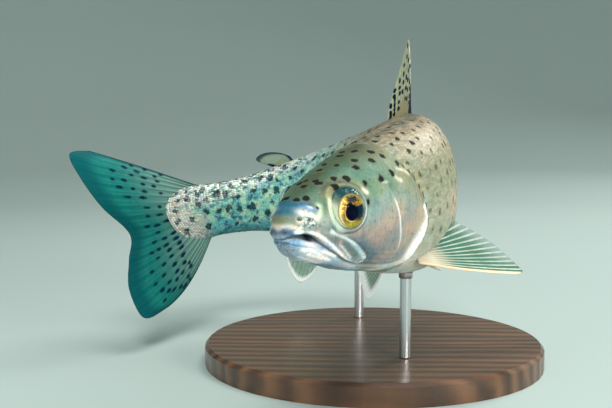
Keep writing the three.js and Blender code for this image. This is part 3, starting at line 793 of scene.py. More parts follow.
def newGroup(name, inputs, outputs):  # its tree, the sockets it starts from, and the node it ends in
    tree = bpy.data.node_groups.new(name, "ShaderNodeTree")
    for way, sockets in (("INPUT", inputs), ("OUTPUT", outputs)):
        for label, kind in sockets.items():
            tree.interface.new_socket(label, in_out=way, socket_type="NodeSocket" + kind)
    return tree, add(tree, "NodeGroupInput").outputs, add(tree, "NodeGroupOutput")


def useGroup(tree, group, inputs):
    return add(tree, "ShaderNodeGroup", inputs, node_tree=group).outputs


def newMaterial(name):
    material = bpy.data.materials.new(name)
    material.use_nodes = True
    return material, material.node_tree, material.node_tree.nodes["Principled BSDF"]


fishColours = {
    "body": [(0.0, (0.075, 0.078, 0.046)), (0.07, (0.2, 0.155, 0.09)), (0.18, (0.225, 0.2, 0.12)),
             (0.36, (0.215, 0.23, 0.142)), (0.52, (0.3, 0.33, 0.232)), (0.66, (0.315, 0.335, 0.25)),
             (0.82, (0.46, 0.47, 0.39)), (1.0, (0.72, 0.72, 0.66))],
    "head": [(0.0, (0.042, 0.062, 0.032)), (0.2, (0.063, 0.14, 0.09)), (0.33, (0.108, 0.2, 0.135)),
             (0.45, (0.24, 0.32, 0.28)), (0.6, (0.18, 0.215, 0.2)), (0.8, (0.155, 0.175, 0.17)),
             (1.0, (0.42, 0.48, 0.5))],
    # the stalk: its own green, made darker and more teal by painted shade and the teal tint of the light
    # there
    "stalk": [(0.0, (0.06, 0.15, 0.15)), (0.22, (0.05, 0.26, 0.28)), (0.42, (0.07, 0.42, 0.42)),
              (0.56, (0.14, 0.55, 0.46)), (0.75, (0.06, 0.46, 0.5)), (1.0, (0.07, 0.32, 0.33))],
    "blush": (0.4, 0.28, 0.25),
    "flankBlush": (0.48, 0.34, 0.24),
    # pale: the jaw's own silvery white, and painted highlights on the maxilla, the gill cover's edge and the
    # snout
    "pale": (0.78, 0.82, 0.84),
    "clouds": ((0.74, 0.92, 1.02), (1.26, 1.09, 0.98)),
    # bluish: the jaw tip's own tint, and painted shade in the gap under the maxilla and along the throat
    "blue": (0.12, 0.26, 0.36),
    # painted shade: the near-black laid into the open mouth, the nostrils, the grooves and round the eyes
    "shadow": (0.005, 0.01, 0.018),
    "speck": (0.05, 0.06, 0.05),
    "lichen": (0.4, 0.67, 0.45),
    "deep": (0.0, 0.12, 0.21),
    # painted glints on the stalk
    "glintFleck": (0.75, 0.8, 0.72),
    "rootBlush": (0.58, 0.53, 0.45),
    "spotStalk": (0.0, 0.045, 0.065),
    "spot": (0.0015, 0.006, 0.006),
    "spotHalo": (0.1, 0.1, 0.04),
}


fishMarks = ("Tone", "Along", "Pale", "Shadow", "Blush", "Blue", "Spots", "Speck", "Cover")


def spotGroup():  # from the distance to the nearest spot to its ragged mark, and a halo round it
    tree, start, end = newGroup("spotMarks", {"Field": "Float", "Vector": "Vector", "Ragged": "Float"},
                                {"Mask": "Float", "Halo": "Float"})
    wander = patches(start["Vector"], 520, 3, 0.25, 0.75, -1.0, 1.0, "LINEAR")
    field = plus(start["Field"], times(wander, start["Ragged"]))
    setInputs(end, {"Mask": ranged(field, 0.3, -0.35), "Halo": ranged(field, 1.3, 0.0)})
    return tree


def stalkColour(tone, along, coords):  # mottled green and blue, and the pale root of the tail fin
    lichen = times(patches(coords, 230, 3, 0.38, 0.62), ranged(tone, 0.9, 0.66),
                   ranged(along, 0.6, 0.88, 0.5, 0.95))
    # painted glints: pale flecks, more of them on the upper side where the light falls
    glintFleck = times(patches(coords, 1500, 2, 0.56, 0.68), ranged(tone, 0.15, 0.6, 0.85, 0.35))
    root = ranged(plus(along, ranged(tone, 0.35, 0.7, -0.026, 0.0)), 0.935, 0.985)
    return layered(ramp(tone, fishColours["stalk"]), [
        (lichen, fishColours["lichen"]),
        (patches(coords, 320, 2, 0.5, 0.68, 0.0, 0.9), fishColours["deep"]),
        (glintFleck, fishColours["glintFleck"]),
        (times(root, patches(coords, 420, 3, 0.35, 0.55, 0.25, 0.9)), fishColours["rootBlush"])])


def fishGroup(spots):
    inputs = {**dict.fromkeys(fishMarks, "Float"), "Paint": "Vector", "Vector": "Vector"}
    outputs = {"Color": "Color", "Mask": "Float", "Silver": "Float"}
    tree, start, end = newGroup("troutColours", inputs, outputs)
    along, coords = start["Along"], start["Vector"]
    tone = plus(start["Tone"], patches(coords, 120, 4, 0.3, 0.7, -0.05, 0.05, "LINEAR"))
    stripe = times(larger(rest(farFrom(tone, 0.52), 9.0), 0.0), ranged(along, 0.22, 0.34, 0.0, 0.55),
                   ranged(along, 0.72, 0.6))
    colour = layered(ramp(tone, fishColours["head"]), [
        (ranged(along, 0.11, 0.24), ramp(tone, fishColours["body"])),
        (ranged(along, 0.55, 0.78), stalkColour(tone, along, coords)),
        (stripe, fishColours["flankBlush"]),
        (times(start["Blush"], 0.62), fishColours["blush"]),
        (start["Pale"], fishColours["pale"]),
        (start["Blue"], fishColours["blue"]),
        (start["Cover"], start["Paint"])])
    cloud = mixed(patches(coords, 150, 3, 0.34, 0.66), *fishColours["clouds"])
    colour = tinted(ranged(along, 0.26, 0.19, 0.0, 0.75), colour, cloud)
    squiggle = ranged(farFrom(noise(coords, 620, 2), 0.5), 0.07, 0.02)
    ragged = ranged(along, 0.55, 0.75, 0.65, 1.25)
    marks = useGroup(tree, spots, {"Field": start["Spots"], "Vector": coords, "Ragged": ragged})
    flank = times(ranged(tone, 0.16, 0.4), ranged(along, 0.17, 0.22), ranged(along, 0.78, 0.62))
    depth = minus(rest(flank, 0.46), ranged(along, 0.7, 0.85, 0.0, 0.06))  # spots fade down the flank
    covered = times(marks["Mask"], depth)
    ink = mixed(ranged(along, 0.55, 0.75), fishColours["spot"], fishColours["spotStalk"])
    colour = layered(colour, [
        (times(squiggle, start["Speck"]), fishColours["speck"]),
        # painted shade in the open mouth, the nostrils, the grooves and round the eyes
        (start["Shadow"], fishColours["shadow"]),
        (times(marks["Halo"], 0.35), fishColours["spotHalo"]),
        (covered, ink)])
    silver = times(ranged(tone, 0.2, 0.6), rest(start["Cover"], 0.8))
    setInputs(end, {"Color": colour, "Mask": larger(covered, start["Shadow"]), "Silver": silver})
    return tree


spotMarks = spotGroup()
troutColours = fishGroup(spotMarks)


def fishLook(tree, coords):
    inputs = {name: value(tree, name.lower()) for name in fishMarks}
    return useGroup(tree, troutColours, {**inputs, "Paint": vector(tree, "paint"), "Vector": coords})


def wetness(mask, rough):  # dark marks are duller than what lies round them
    return {"Roughness": plus(rough, times(mask, 0.3)), "Coat Weight": times(rest(mask, 0.85), 0.06)}


def skinMaterial():
    material, tree, shader = newMaterial("troutSkin")
    coords = objectCoords(tree)
    look = fishLook(tree, coords)
    colour = tinted(patches(coords, 700, 4, 0.56, 0.72, 0.0, 0.4), look["Color"], (0.12, 0.14, 0.1))
    silk = noise(stretched(coords, (900, 900, 90)), 1.0, 3)
    colour = tinted(0.8, colour, mixed(silk, (0.72, 0.72, 0.74), (1.3, 1.29, 1.25)))
    colour = tinted(0.7, colour, mixed(noise(coords, 1300, 2), (0.7, 0.72, 0.7), (1.3, 1.28, 1.3)))
    height = plus(times(noise(coords, 1500, 3), 0.4), noise(coords, 330, 3))
    setInputs(shader, {**wetness(look["Mask"], patches(coords, 260, 4, 0.3, 0.7, 0.36, 0.52)),
                       "Base Color": colour,
                       "Metallic": times(look["Silver"], 0.16, rest(look["Mask"])),
                       "Normal": bumpNode(height, 0.00035, 0.9),
                       "Coat Roughness": 0.24, "IOR": 1.22})
    return material


def scaleMaterial():
    material, tree, shader = newMaterial("troutScales")
    coords = objectCoords(tree)
    look = fishLook(tree, coords)
    rim, sheen = value(tree, "rim"), value(tree, "sheen")
    glint = times(value(tree, "glint"), rest(look["Mask"], 0.8))
    colour = tinted(1.0, look["Color"], mixed(value(tree, "shade"), (0.88, 0.88, 0.89), (1.11, 1.1, 1.09)))
    # painted highlights: the glints are pale tinted colour laid on the scales
    glintHue = mixed(patches(coords, 1100, 1, 0.42, 0.58), (1.0, 0.84, 0.74), (0.84, 0.97, 1.0))
    colour = mixed(glint, colour, glintHue)
    # darker scale rims: their own dark edge, deepened where the scales catch the light as painted shade
    # between the glints
    edge = plus(ranged(rim, 0.72, 1.0, 0.0, 0.2), times(ranged(rim, 0.5, 0.85), sheen, 0.4))
    colour = tinted(edge, colour, (0.25, 0.27, 0.24))
    rough = minus(patches(coords, 500, 2, 0.3, 0.7, 0.44, 0.6), times(sheen, 0.14))
    setInputs(shader, {**wetness(look["Mask"], rough),
                       "Base Color": colour,
                       "Metallic": larger(times(glint, 0.28), 0.1),
                       "Normal": bumpNode(maths("SINE", times(rim, 30.0)), 0.00001, 0.5),
                       "Coat Roughness": 0.22, "IOR": 1.25})
    return material


# one skin from the snout to the tail's root
skinValues = {
    "across": 264,
    "noseRows": 39,
    "headStep": 0.43,
    "trunkStep": 1.45,
    "headEnd": (0.205, 0.27),
}


def skinRows():
    turns = np.linspace(0, math.pi / 2, skinValues["noseRows"], endpoint=False)
    rows = list(body["noseShare"] * (1 - np.cos(turns)))
    rows.append(body["noseShare"])
    while rows[-1] < 1:
        wide = rampUp(rows[-1], *skinValues["headEnd"])
        rows.append(rows[-1] + (skinValues["headStep"] * (1 - wide) + skinValues["trunkStep"] * wide) / size)
    rows = np.array(rows)
    late = rows > 0.3
    rows[late] = 0.3 + (rows[late] - 0.3) * 0.7 / (rows[-1] - 0.3)
    return rows


def markingValues(station, share, points):
    tone = np.abs(share - 0.5) * 2
    return {"tone": tone, "along": station, "spots": nearestSpot(points, spotCentres, spotRadii)}


def buildSkin(material):
    rows = skinRows()
    piece, across, along = gridMesh("troutSkin", skinValues["across"], len(rows) - 1)
    index = np.rint(along * (len(rows) - 1)).astype(int)
    row = rows[index]
    safe = np.maximum(row, 0.00002)
    points, station, angle = skinPlace(safe, across)
    normal = skinNormal(np.clip(safe, 0.0003, 0.9974), np.clip(across, 0.0002, 0.9998))
    relief = bodyRelief(station, angle)
    head = station < 0.25
    lift, looks = headRelief(station[head], angle[head], points[head])
    relief[head] += lift * rampDown(station[head], 0.235, 0.25)
    relief *= between(row, 0.0002, 0.003, 0.95, 0.995)
    moved = points + normal * (relief * mm)[:, None]
    nose = index == 0
    moved[nose] = moved[nose].mean(0)
    seam = across > 0.9999
    moved[seam] = moved[np.flatnonzero(across < 0.0001)]
    setPoints(piece, moved)
    values = markingValues(station, across, points)
    for name, numbers in looks.items():
        values[name] = np.zeros((len(row), 3) if numbers.ndim == 2 else len(row))
        values[name][head] = numbers
    setValues(piece, values)
    piece.data.materials.append(material)
    finishMesh(piece, weld=1e-7)
    return piece


skin = buildSkin(skinMaterial())
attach(skin, "root")
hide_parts("head", "lower_jaw", "maxilla_left", "maxilla_right", "gill_cover_left", "gill_cover_right",
            "trunk_front", "trunk_middle", "trunk_rear", "tail_stalk")
print("skin:", len(skin.data.polygons), "faces")

# scales: rows of thin overlapping plates, each following the body under it
scales = {
    "seed": 5,
    "around": 116,
    "rows": 158,
    "crowding": 0.25,  # rows lie closer towards the tail
    "pairFrom": (0.6, 0.68),  # past here two rows round the body become one
    "from": 0.155,
    "overlap": 2.15,  # length in row steps
    "width": 1.22,  # in steps round the body
    "cells": 3,
    "apart": 4,
    "root": -0.12,  # heights over the skin in millimetres
    "tip": 0.17,
    "dome": 0.05,
    "tilt": 0.02,
    "stalkTilt": 0.085,
    "patch": 0.003,  # size on the map
}


def scaleField(name, rowCount, aroundCount):  # copies of one flat scale, standing apart both ways
    sheet = bmesh.new()
    bmesh.ops.create_grid(sheet, x_segments=scales["cells"], y_segments=scales["cells"], size=0.5)
    source = placed(name, closeShell(sheet, bpy.data.meshes.new("oneScale")))
    apart = scales["apart"]
    for count, step in ((rowCount, (apart, 0, 0)), (aroundCount, (0, apart, 0))):
        copies = source.modifiers.new("copies", "ARRAY")
        copies.count = count
        copies.use_relative_offset = False
        copies.use_constant_offset = True
        copies.constant_offset_displace = step
    graph = bpy.context.evaluated_depsgraph_get()
    mesh = bpy.data.meshes.new_from_object(source.evaluated_get(graph))
    bpy.data.objects.remove(source)
    return placed(name, mesh)


def sheenAt(tone, row):  # where scales catch the light: along the stalk's back and round the tail fin's root
    wide = 0.2 * rampUp(row, 0.78, 0.93)
    sheen = rampDown(tone - wide, 0.1, 0.3) * rampUp(row, 0.68, 0.8)
    highSide = rampDown(tone, 0.35, 0.7)
    sheen = np.maximum(sheen, 0.9 * rampUp(row - 0.026 * highSide, 0.935, 0.98))
    return np.maximum(sheen, 0.04 * rampDown(tone, 0.2, 0.34) * rampDown(row, 0.24, 0.34))


def mapScales(piece, i, share, p, q):  # each scale is a small patch at its root's place on the side's unwrap
    layer = piece.data.uv_layers.new(name="OFBake")
    corners = np.empty(len(piece.data.loops), np.int32)
    piece.data.loops.foreach_get("vertex_index", corners)
    u = 0.02 + 0.94 * share * 2 + q * scales["patch"]
    v = 0.02 + 0.94 * i / scales["rows"] + p * scales["patch"]
    layer.data.foreach_set("uv", np.stack([u[corners], v[corners]], -1).astype(np.float32).ravel())


def dropScales(piece, gone):
    shell = bmesh.new()
    shell.from_mesh(piece.data)
    shell.verts.ensure_lookup_table()
    bmesh.ops.delete(shell, geom=[shell.verts[k] for k in np.flatnonzero(gone)], context="VERTS")
    closeShell(shell, piece.data)


def buildScales(name, side, material):
    around = scales["around"] // 2
    piece = scaleField(name, scales["rows"], around)
    flat = pointsOf(piece.data)
    i, j = np.rint(flat[:, :2] / scales["apart"]).astype(int).T  # which row, and which scale of it
    p = flat[:, 0] - scales["apart"] * i + 0.5  # 0 at the scale's root, 1 at its tip
    q = flat[:, 1] - scales["apart"] * j  # across it, from -0.5 to 0.5
    draw = np.random.default_rng(scales["seed"] + side)
    shape = (scales["rows"], around)
    tiltAlong, tiltAcross, shade, slip = (draw.normal(0, 1, shape)[i, j] for _ in range(4))
    t = i / (scales["rows"] - 1)
    span = 1.0 - scales["from"]
    rowStep = span / (scales["rows"] - 1) * (1 + scales["crowding"] * (1 - 2 * t))
    rowAt = scales["from"] + span * (t + scales["crowding"] * t * (1 - t))
    root = rowAt - rowStep * scales["overlap"] + slip * rowStep * 0.05
    paired = rowAt > draw.uniform(*scales["pairFrom"], around)[j // 2]
    step = np.where(paired, 2, 1)
    column = np.where(paired, j // 2 * 2 + 0.5 + (i % 2), j + 0.25 + 0.5 * (i % 2))
    sideShare = column / scales["around"]
    share = sideShare + (0.5 if side < 0 else 0)
    narrow = step * (1 - 0.55 * rampUp(p, 0.55, 1.15))
    reach = p - 0.16 * (2 * q) ** 2 * rampUp(p, 0.3, 1)
    row = root + reach * rowStep * scales["overlap"]
    shareHere = np.clip(share + q * narrow * scales["width"] / scales["around"], 0.0, 1.0)
    row = np.minimum(row, 0.9975)
    points, station, angle = skinPlace(row, shareHere)
    normal = skinNormal(np.clip(row, 0.01, 0.9974), np.clip(shareHere, 0.0002, 0.9998))
    tilt = scales["tilt"] + (scales["stalkTilt"] - scales["tilt"]) * rampUp(root, 0.62, 0.85)
    lift = scales["root"] + (scales["tip"] - scales["root"]) * p ** 0.8 - scales["dome"] * (2 * q) ** 2
    lift = lift + tilt * (0.7 * tiltAlong * (p - 0.6) * 2 + tiltAcross * 2 * q) * rampUp(p, 0.2, 0.6)
    lift = np.clip(lift, -0.3, 0.36) * (1 - 0.5 * rampUp(row, 0.95, 1))
    lift = lift + bodyRelief(station, angle)
    setPoints(piece, points + normal * (lift * mm)[:, None])
    values = markingValues(station, shareHere, points)
    sheen = sheenAt(values["tone"], row)
    glint = np.clip(0.6 + 0.75 * shade, 0, 1) * (0.06 + 0.94 * sheen) * (1 - rampUp(p, 0.75, 1) * 0.5)
    setValues(piece, {**values, "rim": np.clip(p + (q * 2) ** 2 * 0.25, 0, 1), "glint": glint, "sheen": sheen,
                      "shade": np.clip(0.5 + 0.25 * shade, 0, 1)})
    mapScales(piece, i, sideShare, p, q)
    tip = root + rowStep * scales["overlap"] * 0.5
    tipAngle = angleAt(np.clip(tip, 0.01, 1), share)
    outside = root + rowStep * 0.6 < gillStationAt(tipAngle)
    dropped = np.zeros(shape, bool)
    np.logical_or.at(dropped, (i, j), outside | (paired & (j % 2 == 1)))
    dropScales(piece, dropped[i, j])
    piece.data.materials.append(material)
    return piece


scaleSkin = scaleMaterial()
for word, side in (("Left", 1), ("Right", -1)):
    scaleCoat = buildScales("scales" + word, side, scaleSkin)
    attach(scaleCoat, "root")
    print("scales:", word, len(scaleCoat.data.polygons), "faces")

# fins: closed thin shells with a raised line for each ray
finShapes = {
    "dorsal_fin": {
        "root": ("back", 0.457, 0.575), "sink": 2.2, "rays": 12, "thickness": (1.7, 0.34),
        "margin": [(0.466, 0.158), (0.483, 0.2115), (0.501, 0.2365), (0.52, 0.227), (0.545, 0.19),
                   (0.566, 0.152), (0.576, 0.125)]},
    "anal_fin": {
        "root": ("belly", 0.705, 0.785), "sink": 2.2, "rays": 11, "thickness": (1.6, 0.32),
        "margin": [(0.716, -0.109), (0.737, -0.136), (0.76, -0.156), (0.777, -0.159), (0.79, -0.146),
                   (0.799, -0.122), (0.797, -0.09)]},
    "adipose_fin": {
        "root": ("back", 0.777, 0.812), "sink": 1.8, "rays": 0, "thickness": (1.8, 0.6),
        "margin": [(0.784, 0.0675), (0.8, 0.075), (0.82, 0.078), (0.835, 0.075), (0.842, 0.068),
                   (0.838, 0.062), (0.826, 0.0575)]},
    "caudal_fin": {
        "root": [(0.945, 0.0315), (0.95, -0.012), (0.945, -0.057)], "rays": 21, "thickness": (2.2, 0.34),
        "sweep": (0.5, -4.5),
        "margin": [(1.13, 0.135), (1.168, 0.139), (1.167, 0.098), (1.15, 0.043), (1.117, -0.013),
                   (1.14, -0.05), (1.166, -0.09), (1.167, -0.135), (1.145, -0.149), (1.095, -0.148)]},
}
pectoral = {"look": "pectoral", "station": 0.23, "up": -0.06, "rootWidth": 8, "sweep": 1, "rays": 14,
            "split": 0.07, "thickness": (1.3, 0.3)}
pelvic = {"look": "pelvic", "station": 0.495, "up": -0.1, "rootWidth": 6, "sweep": 1, "rays": 10,
          "thickness": (1.2, 0.3)}
pairedShapes = {
    "pectoral_fin_left": {**pectoral, "lead": (40.5, 28, -9), "last": (22, 2.5, 8.5)},
    "pectoral_fin_right": {**pectoral, "lead": (42, -25, -9), "last": (21, -3, 8)},
    "pelvic_fin_left": {**pelvic, "lead": (17, 16, -7.5), "last": (17, 4, -4)},
    "pelvic_fin_right": {**pelvic, "lead": (13.5, -5, -20), "last": (17, -8, -7)},
}
rootSunk = 3.0  # millimetres of a paired fin's root inside the flank


def midlineSheet(values, a, t):  # fins on the back, the belly and the tail: places, and the way sideways
    root = values["root"]
    if root[0] in ("back", "belly"):
        kind, start, end = root
        sign, edge = (1, backAt) if kind == "back" else (-1, bellyAt)
        lift = (0.5 - values["sink"]) / size
        root = [(s, sign * (float(edge(s)) + lift)) for s in (start, (start + end) / 2, end)]
    low, high = splineAt(root, a), splineAt(values["margin"], a)
    bottom, top = (place(line[:, 0], np.zeros(len(a)), line[:, 1] * size) for line in (low, high))
    first, last = root[0][0], root[-1][0]
    upward = directionsAt(np.array([(first + last) / 2]))[2]
    sweep = values.get("sweep", (0, 0))
    bend = upward * (sweep[0] + (sweep[1] - sweep[0]) * a)[:, None] * mm
    middle = bottom + (top - bottom) * t[:, None] + bend * (4 * t * (1 - t))[:, None]
    return middle, directionsAt(first + (last - first) * a)[1]


def pairedSheet(values, a, t):  # fins that stand out from the flanks
    station, height = np.array([values["station"]]), np.array([values["up"] * size])
    flank = np.sign(values["lead"][1]) * (halfWidthAtHeight(station, height) - rootSunk)
    foot = place(station, flank, height)[0] / mm
    tailLeftUp = np.array([way[0] for way in directionsAt(station)])
    first, final = (np.array(values[edge]) @ tailLeftUp for edge in ("lead", "last"))
    across = unit(np.cross(first, final))
    spread = unit(np.cross(across, first + final))
    root = foot + spread * ((a - 0.5) * values["rootWidth"])[:, None]
    reach = unit(first + (final - first) * a[:, None])
    firstLength, finalLength = np.linalg.norm(first), np.linalg.norm(final)
    length = firstLength + (finalLength - firstLength) * a ** 1.4
    corner = 0.1 * np.maximum(1 - a / 0.1, 0) ** 2 + 0.15 * np.maximum(1 - (1 - a) / 0.15, 0) ** 2
    tip = root + reach * (length * (1 - corner) + rootSunk)[:, None]
    bend = spread * (-values["sweep"] * (1 - a) * 4 * t * (1 - t))[:, None]
    return (root + (tip - root) * t[:, None] + bend) * mm, np.tile(across, (len(a), 1))


def rayRidge(values, a, t):  # 1 on a ray, 0 on the membrane; each ray parts in two, and again near the edge
    rays = values["rays"]
    if not rays:
        return np.full(len(a), 0.6)
    across = a * rays
    whole = np.floor(across) < 2  # the first two rays are stout and stay whole
    parting = values.get("split", 0.15) * np.where(whole, 0, 1)
    halves = np.abs(np.abs(across - np.floor(across) - 0.5) - parting * rampUp(t, 0.34, 0.6))
    away = np.abs(halves - 0.5 * parting * rampUp(t, 0.62, 0.85))
    width = np.where(whole, 0.3, 0.22 - 0.12 * rampUp(t, 0.25, 0.8))
    return np.clip(1 - (away / width) ** 2, 0, 1)


# rows of spots between the rays: how far out they run, their sizes in millimetres and their gaps
spotRows = {
    "caudal_fin": {"rows": 21, "from": 0.3, "to": 0.76, "stagger": 0.09, "outerRowsShort": 0.12,
                   "long": (1.3, 2.5), "wide": (0.7, 0.98), "gap": (0.085, 0.145)},
    "dorsal_fin": {"rows": 8, "from": 0.24, "to": 0.97, "stagger": 0.027, "outerRowsShort": 0.0,
                   "long": (1.1, 1.5), "wide": (1.5, 2.1), "gap": (0.12, 0.14)},
}
adiposeSpot = {"a": 0.8, "t": 0.3, "squeeze": (9, 5), "radius": 1.1}
spotSeed = 23
spotLuck = 0.84
noSpot = 4.0  # millimetres to the nearest spot where there is none


def finSpots(name, values, middle, a, t):  # millimetres to the nearest spot on the fin
    field = np.full(len(a), noSpot)
    if name == "adipose_fin":  # one dark spot low on its rear edge
        spot = adiposeSpot
        reach = np.hypot((a - spot["a"]) * spot["squeeze"][0], (t - spot["t"]) * spot["squeeze"][1])
        field = reach - spot["radius"]
    look = spotRows.get(name, {"rows": 0})
    draw = np.random.default_rng(spotSeed)
    for k in range(1, look["rows"]):
        at = look["from"] + draw.uniform(0, look["stagger"])
        outer = k < 3 or k > look["rows"] - 3
        limit = look["to"] - (look["outerRowsShort"] if outer else 0)
        while at < look["to"]:
            ray, here = np.array([(k + draw.uniform(-0.12, 0.12)) / look["rows"]]), np.array([at])
            centre = midlineSheet(values, ray, here)[0][0]
            ahead = unit(midlineSheet(values, ray, here + 0.01)[0][0] - centre)
            offset = (middle - centre) / mm
            alongRay = offset @ ahead
            acrossRay = np.sqrt(np.maximum(np.sum(offset ** 2, axis=1) - alongRay ** 2, 0))
            long, wide = draw.uniform(*look["long"]), draw.uniform(*look["wide"])
            if at < limit and draw.uniform() < spotLuck:
                field = np.minimum(field, (np.hypot(alongRay / long, acrossRay / wide) - 1) * wide)
            at += draw.uniform(*look["gap"])
    return np.clip(field, -3, noSpot)


finLooks = {
    "dorsal_fin": {
        "ray": (0.72, 0.72, 0.5), "web": (0.55, 0.57, 0.4), "webAlpha": 0.9,
        "lead": (0.01, 0.02, 0.035), "leadShare": 0.06, "edge": (0.36, 0.36, 0.27), "edgeShare": 0.0,
        "base": (0.42, 0.36, 0.2)},
    # the tail fin's own colour, deepened by a painted teal tint of the light on it
    "caudal_fin": {
        "ray": (0.012, 0.18, 0.165), "web": (0.003, 0.132, 0.118), "webAlpha": 1.0,
        "lead": (0.0, 0.03, 0.045), "leadShare": 0.045, "edge": (0.0, 0.07, 0.08), "edgeShare": 0.2,
        "base": (0.13, 0.25, 0.215), "baseReach": 0.75, "spot": (0.0, 0.02, 0.04)},
    "adipose_fin": {
        "ray": (0.26, 0.36, 0.25), "web": (0.26, 0.36, 0.25), "webAlpha": 0.1,
        "lead": (0.0, 0.012, 0.035), "leadShare": 0.2, "edge": (0.0, 0.012, 0.035), "edgeShare": 0.26,
        "base": (0.22, 0.26, 0.14), "spot": (0.0, 0.012, 0.035)},
    "anal_fin": {
        "ray": (0.27, 0.39, 0.33), "web": (0.16, 0.28, 0.22), "webAlpha": 0.7, "glow": 0.15,
        "lead": (0.85, 0.87, 0.85), "leadShare": 0.16, "edge": (0.8, 0.83, 0.8), "edgeShare": 0.14,
        "base": (0.45, 0.45, 0.34)},
    "pectoral": {
        "ray": (0.46, 0.53, 0.43), "web": (0.045, 0.14, 0.1), "webAlpha": 0.82, "rayShare": (0.45, 1.0),
        "lead": (0.8, 0.58, 0.36), "leadShare": 0.08, "edge": (0.8, 0.8, 0.74), "edgeShare": 0.0,
        "base": (0.5, 0.46, 0.35), "fade": 0.75},
    "pelvic": {
        "ray": (0.27, 0.38, 0.31), "web": (0.15, 0.26, 0.2), "webAlpha": 0.7, "glow": 0.22,
        "lead": (0.85, 0.87, 0.85), "leadShare": 0.2, "edge": (0.85, 0.88, 0.86), "edgeShare": 0.3,
        "base": (0.5, 0.48, 0.36), "fade": 0.3},
}
finSpotInk = (0.004, 0.012, 0.02)


def finMaterial(name, look):
    material, tree, shader = newMaterial(name + "Fin")
    coords = objectCoords(tree)
    fin = add(tree, "ShaderNodeSeparateXYZ", {"Vector": vector(tree, "fin")}).outputs
    across, outward, ray = fin["X"], fin["Y"], value(tree, "ray")
    fibre = noise(coords, 420, 4)
    colour = mixed(ranged(ray, *look.get("rayShare", (0.0, 1.0))), look["web"], look["ray"])
    colour = tinted(ranged(fibre, 0.35, 0.7, 0.0, 0.35), colour, (0.55, 0.55, 0.45))
    leadShare, edgeShare = look["leadShare"], look["edgeShare"]
    lead = ranged(across, leadShare, leadShare * 0.35)
    if name == "caudal_fin":  # its last ray looks like its first
        lead = larger(lead, ranged(across, 1 - leadShare, 1 - leadShare * 0.35))
    edge = ranged(outward, 1 - edgeShare - 0.02, 1 - edgeShare * 0.4, 0.0, 0.9 if edgeShare else 0.0)
    marks = useGroup(tree, spotMarks, {"Field": value(tree, "spots"), "Vector": coords, "Ragged": 0.2})
    colour = layered(colour, [
        (ranged(outward, look.get("baseReach", 0.42), 0.14), look["base"]),
        (lead, look["lead"]),
        (edge, look["edge"]),
        (marks["Mask"], look.get("spot", finSpotInk))])
    solid = larger(ranged(ray, 0.3, 0.9, look["webAlpha"], 0.93), marks["Mask"], lead, edge,
                   ranged(outward, 0.34, 0.16))
    thin = times(ranged(outward, 0.62, 1.0, 0.0, look.get("fade", 0.0)), ranged(across, 0.1, 0.3))
    joints = maths("SINE", times(fin["Z"], 5.2))
    setInputs(shader, {"Base Color": colour,
                       "Alpha": times(solid, rest(thin)),
                       "Roughness": ranged(fibre, 0.3, 0.7, 0.3, 0.5),
                       "Normal": bumpNode(plus(times(joints, ray, 0.12), fibre), 0.00012, 0.7),
                       "Coat Weight": 0.04, "Coat Roughness": 0.2, "IOR": 1.14})
    if "glow" in look:  # light that comes through a thin fin
        setInputs(shader, {"Emission Color": colour, "Emission Strength": look["glow"]})
    return material


finCells = {"eachRay": 16, "fewestRays": 6, "along": 56, "alongTall": 96}


def buildFin(name, values, sheet, material):
    across = max(values["rays"], finCells["fewestRays"]) * finCells["eachRay"]
    along = finCells["alongTall" if name in ("caudal_fin", "dorsal_fin") else "along"]
    piece, u, t = gridMesh(name.replace("_fin", "").replace("_", "") + "Fin", across, along)
    a = np.where(u <= 0.5, 2 * u, 2 - 2 * u)  # out along one face and back along the other
    face2 = np.where(u <= 0.5, 1.0, -1.0)
    ray = rayRidge(values, a, t)
    middle, sideways = sheet(values, a, t)
    rootHalf, tipHalf = np.array(values["thickness"]) / 2
    half = rootHalf + (tipHalf - rootHalf) * rampUp(t, -0.1, 0.85) ** 0.7
    half = half * (0.42 + 0.58 * ray) * (1 + 0.5 * bump(a, 0.05) * rampDown(t, 0.6, 1))
    edges = np.clip(a / 0.012, 0, 1) * np.clip((1 - a) / 0.012, 0, 1)
    ends = np.clip(t / 0.015, 0, 1) * np.clip((1 - t) / 0.015, 0, 1)
    half = half * np.sqrt(edges * ends)
    foot, tip = (sheet(values, a, np.full(len(a), end))[0] for end in (0.0, 1.0))
    out = np.linalg.norm(tip - foot, axis=1) / mm * t
    wave = 0.22 * np.sin(a * 9 + t * 3) * rampUp(t, 0.3, 1)
    setPoints(piece, middle + sideways * ((face2 * half + wave) * mm)[:, None])
    setValues(piece, {"fin": np.stack([a, t, out], -1), "ray": ray,
                      "spots": finSpots(name, values, middle, a, t)})
    piece.data.materials.append(material)
    finishMesh(piece, weld=1e-7)
    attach(piece, "root")
    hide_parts(name)


for name, values in finShapes.items():
    buildFin(name, values, midlineSheet, finMaterial(name, finLooks[name]))
pairedMaterials = {kind: finMaterial(kind, finLooks[kind]) for kind in ("pectoral", "pelvic")}
for name, values in pairedShapes.items():
    buildFin(name, values, pairedSheet, pairedMaterials[values["look"]])
print("fins: done")

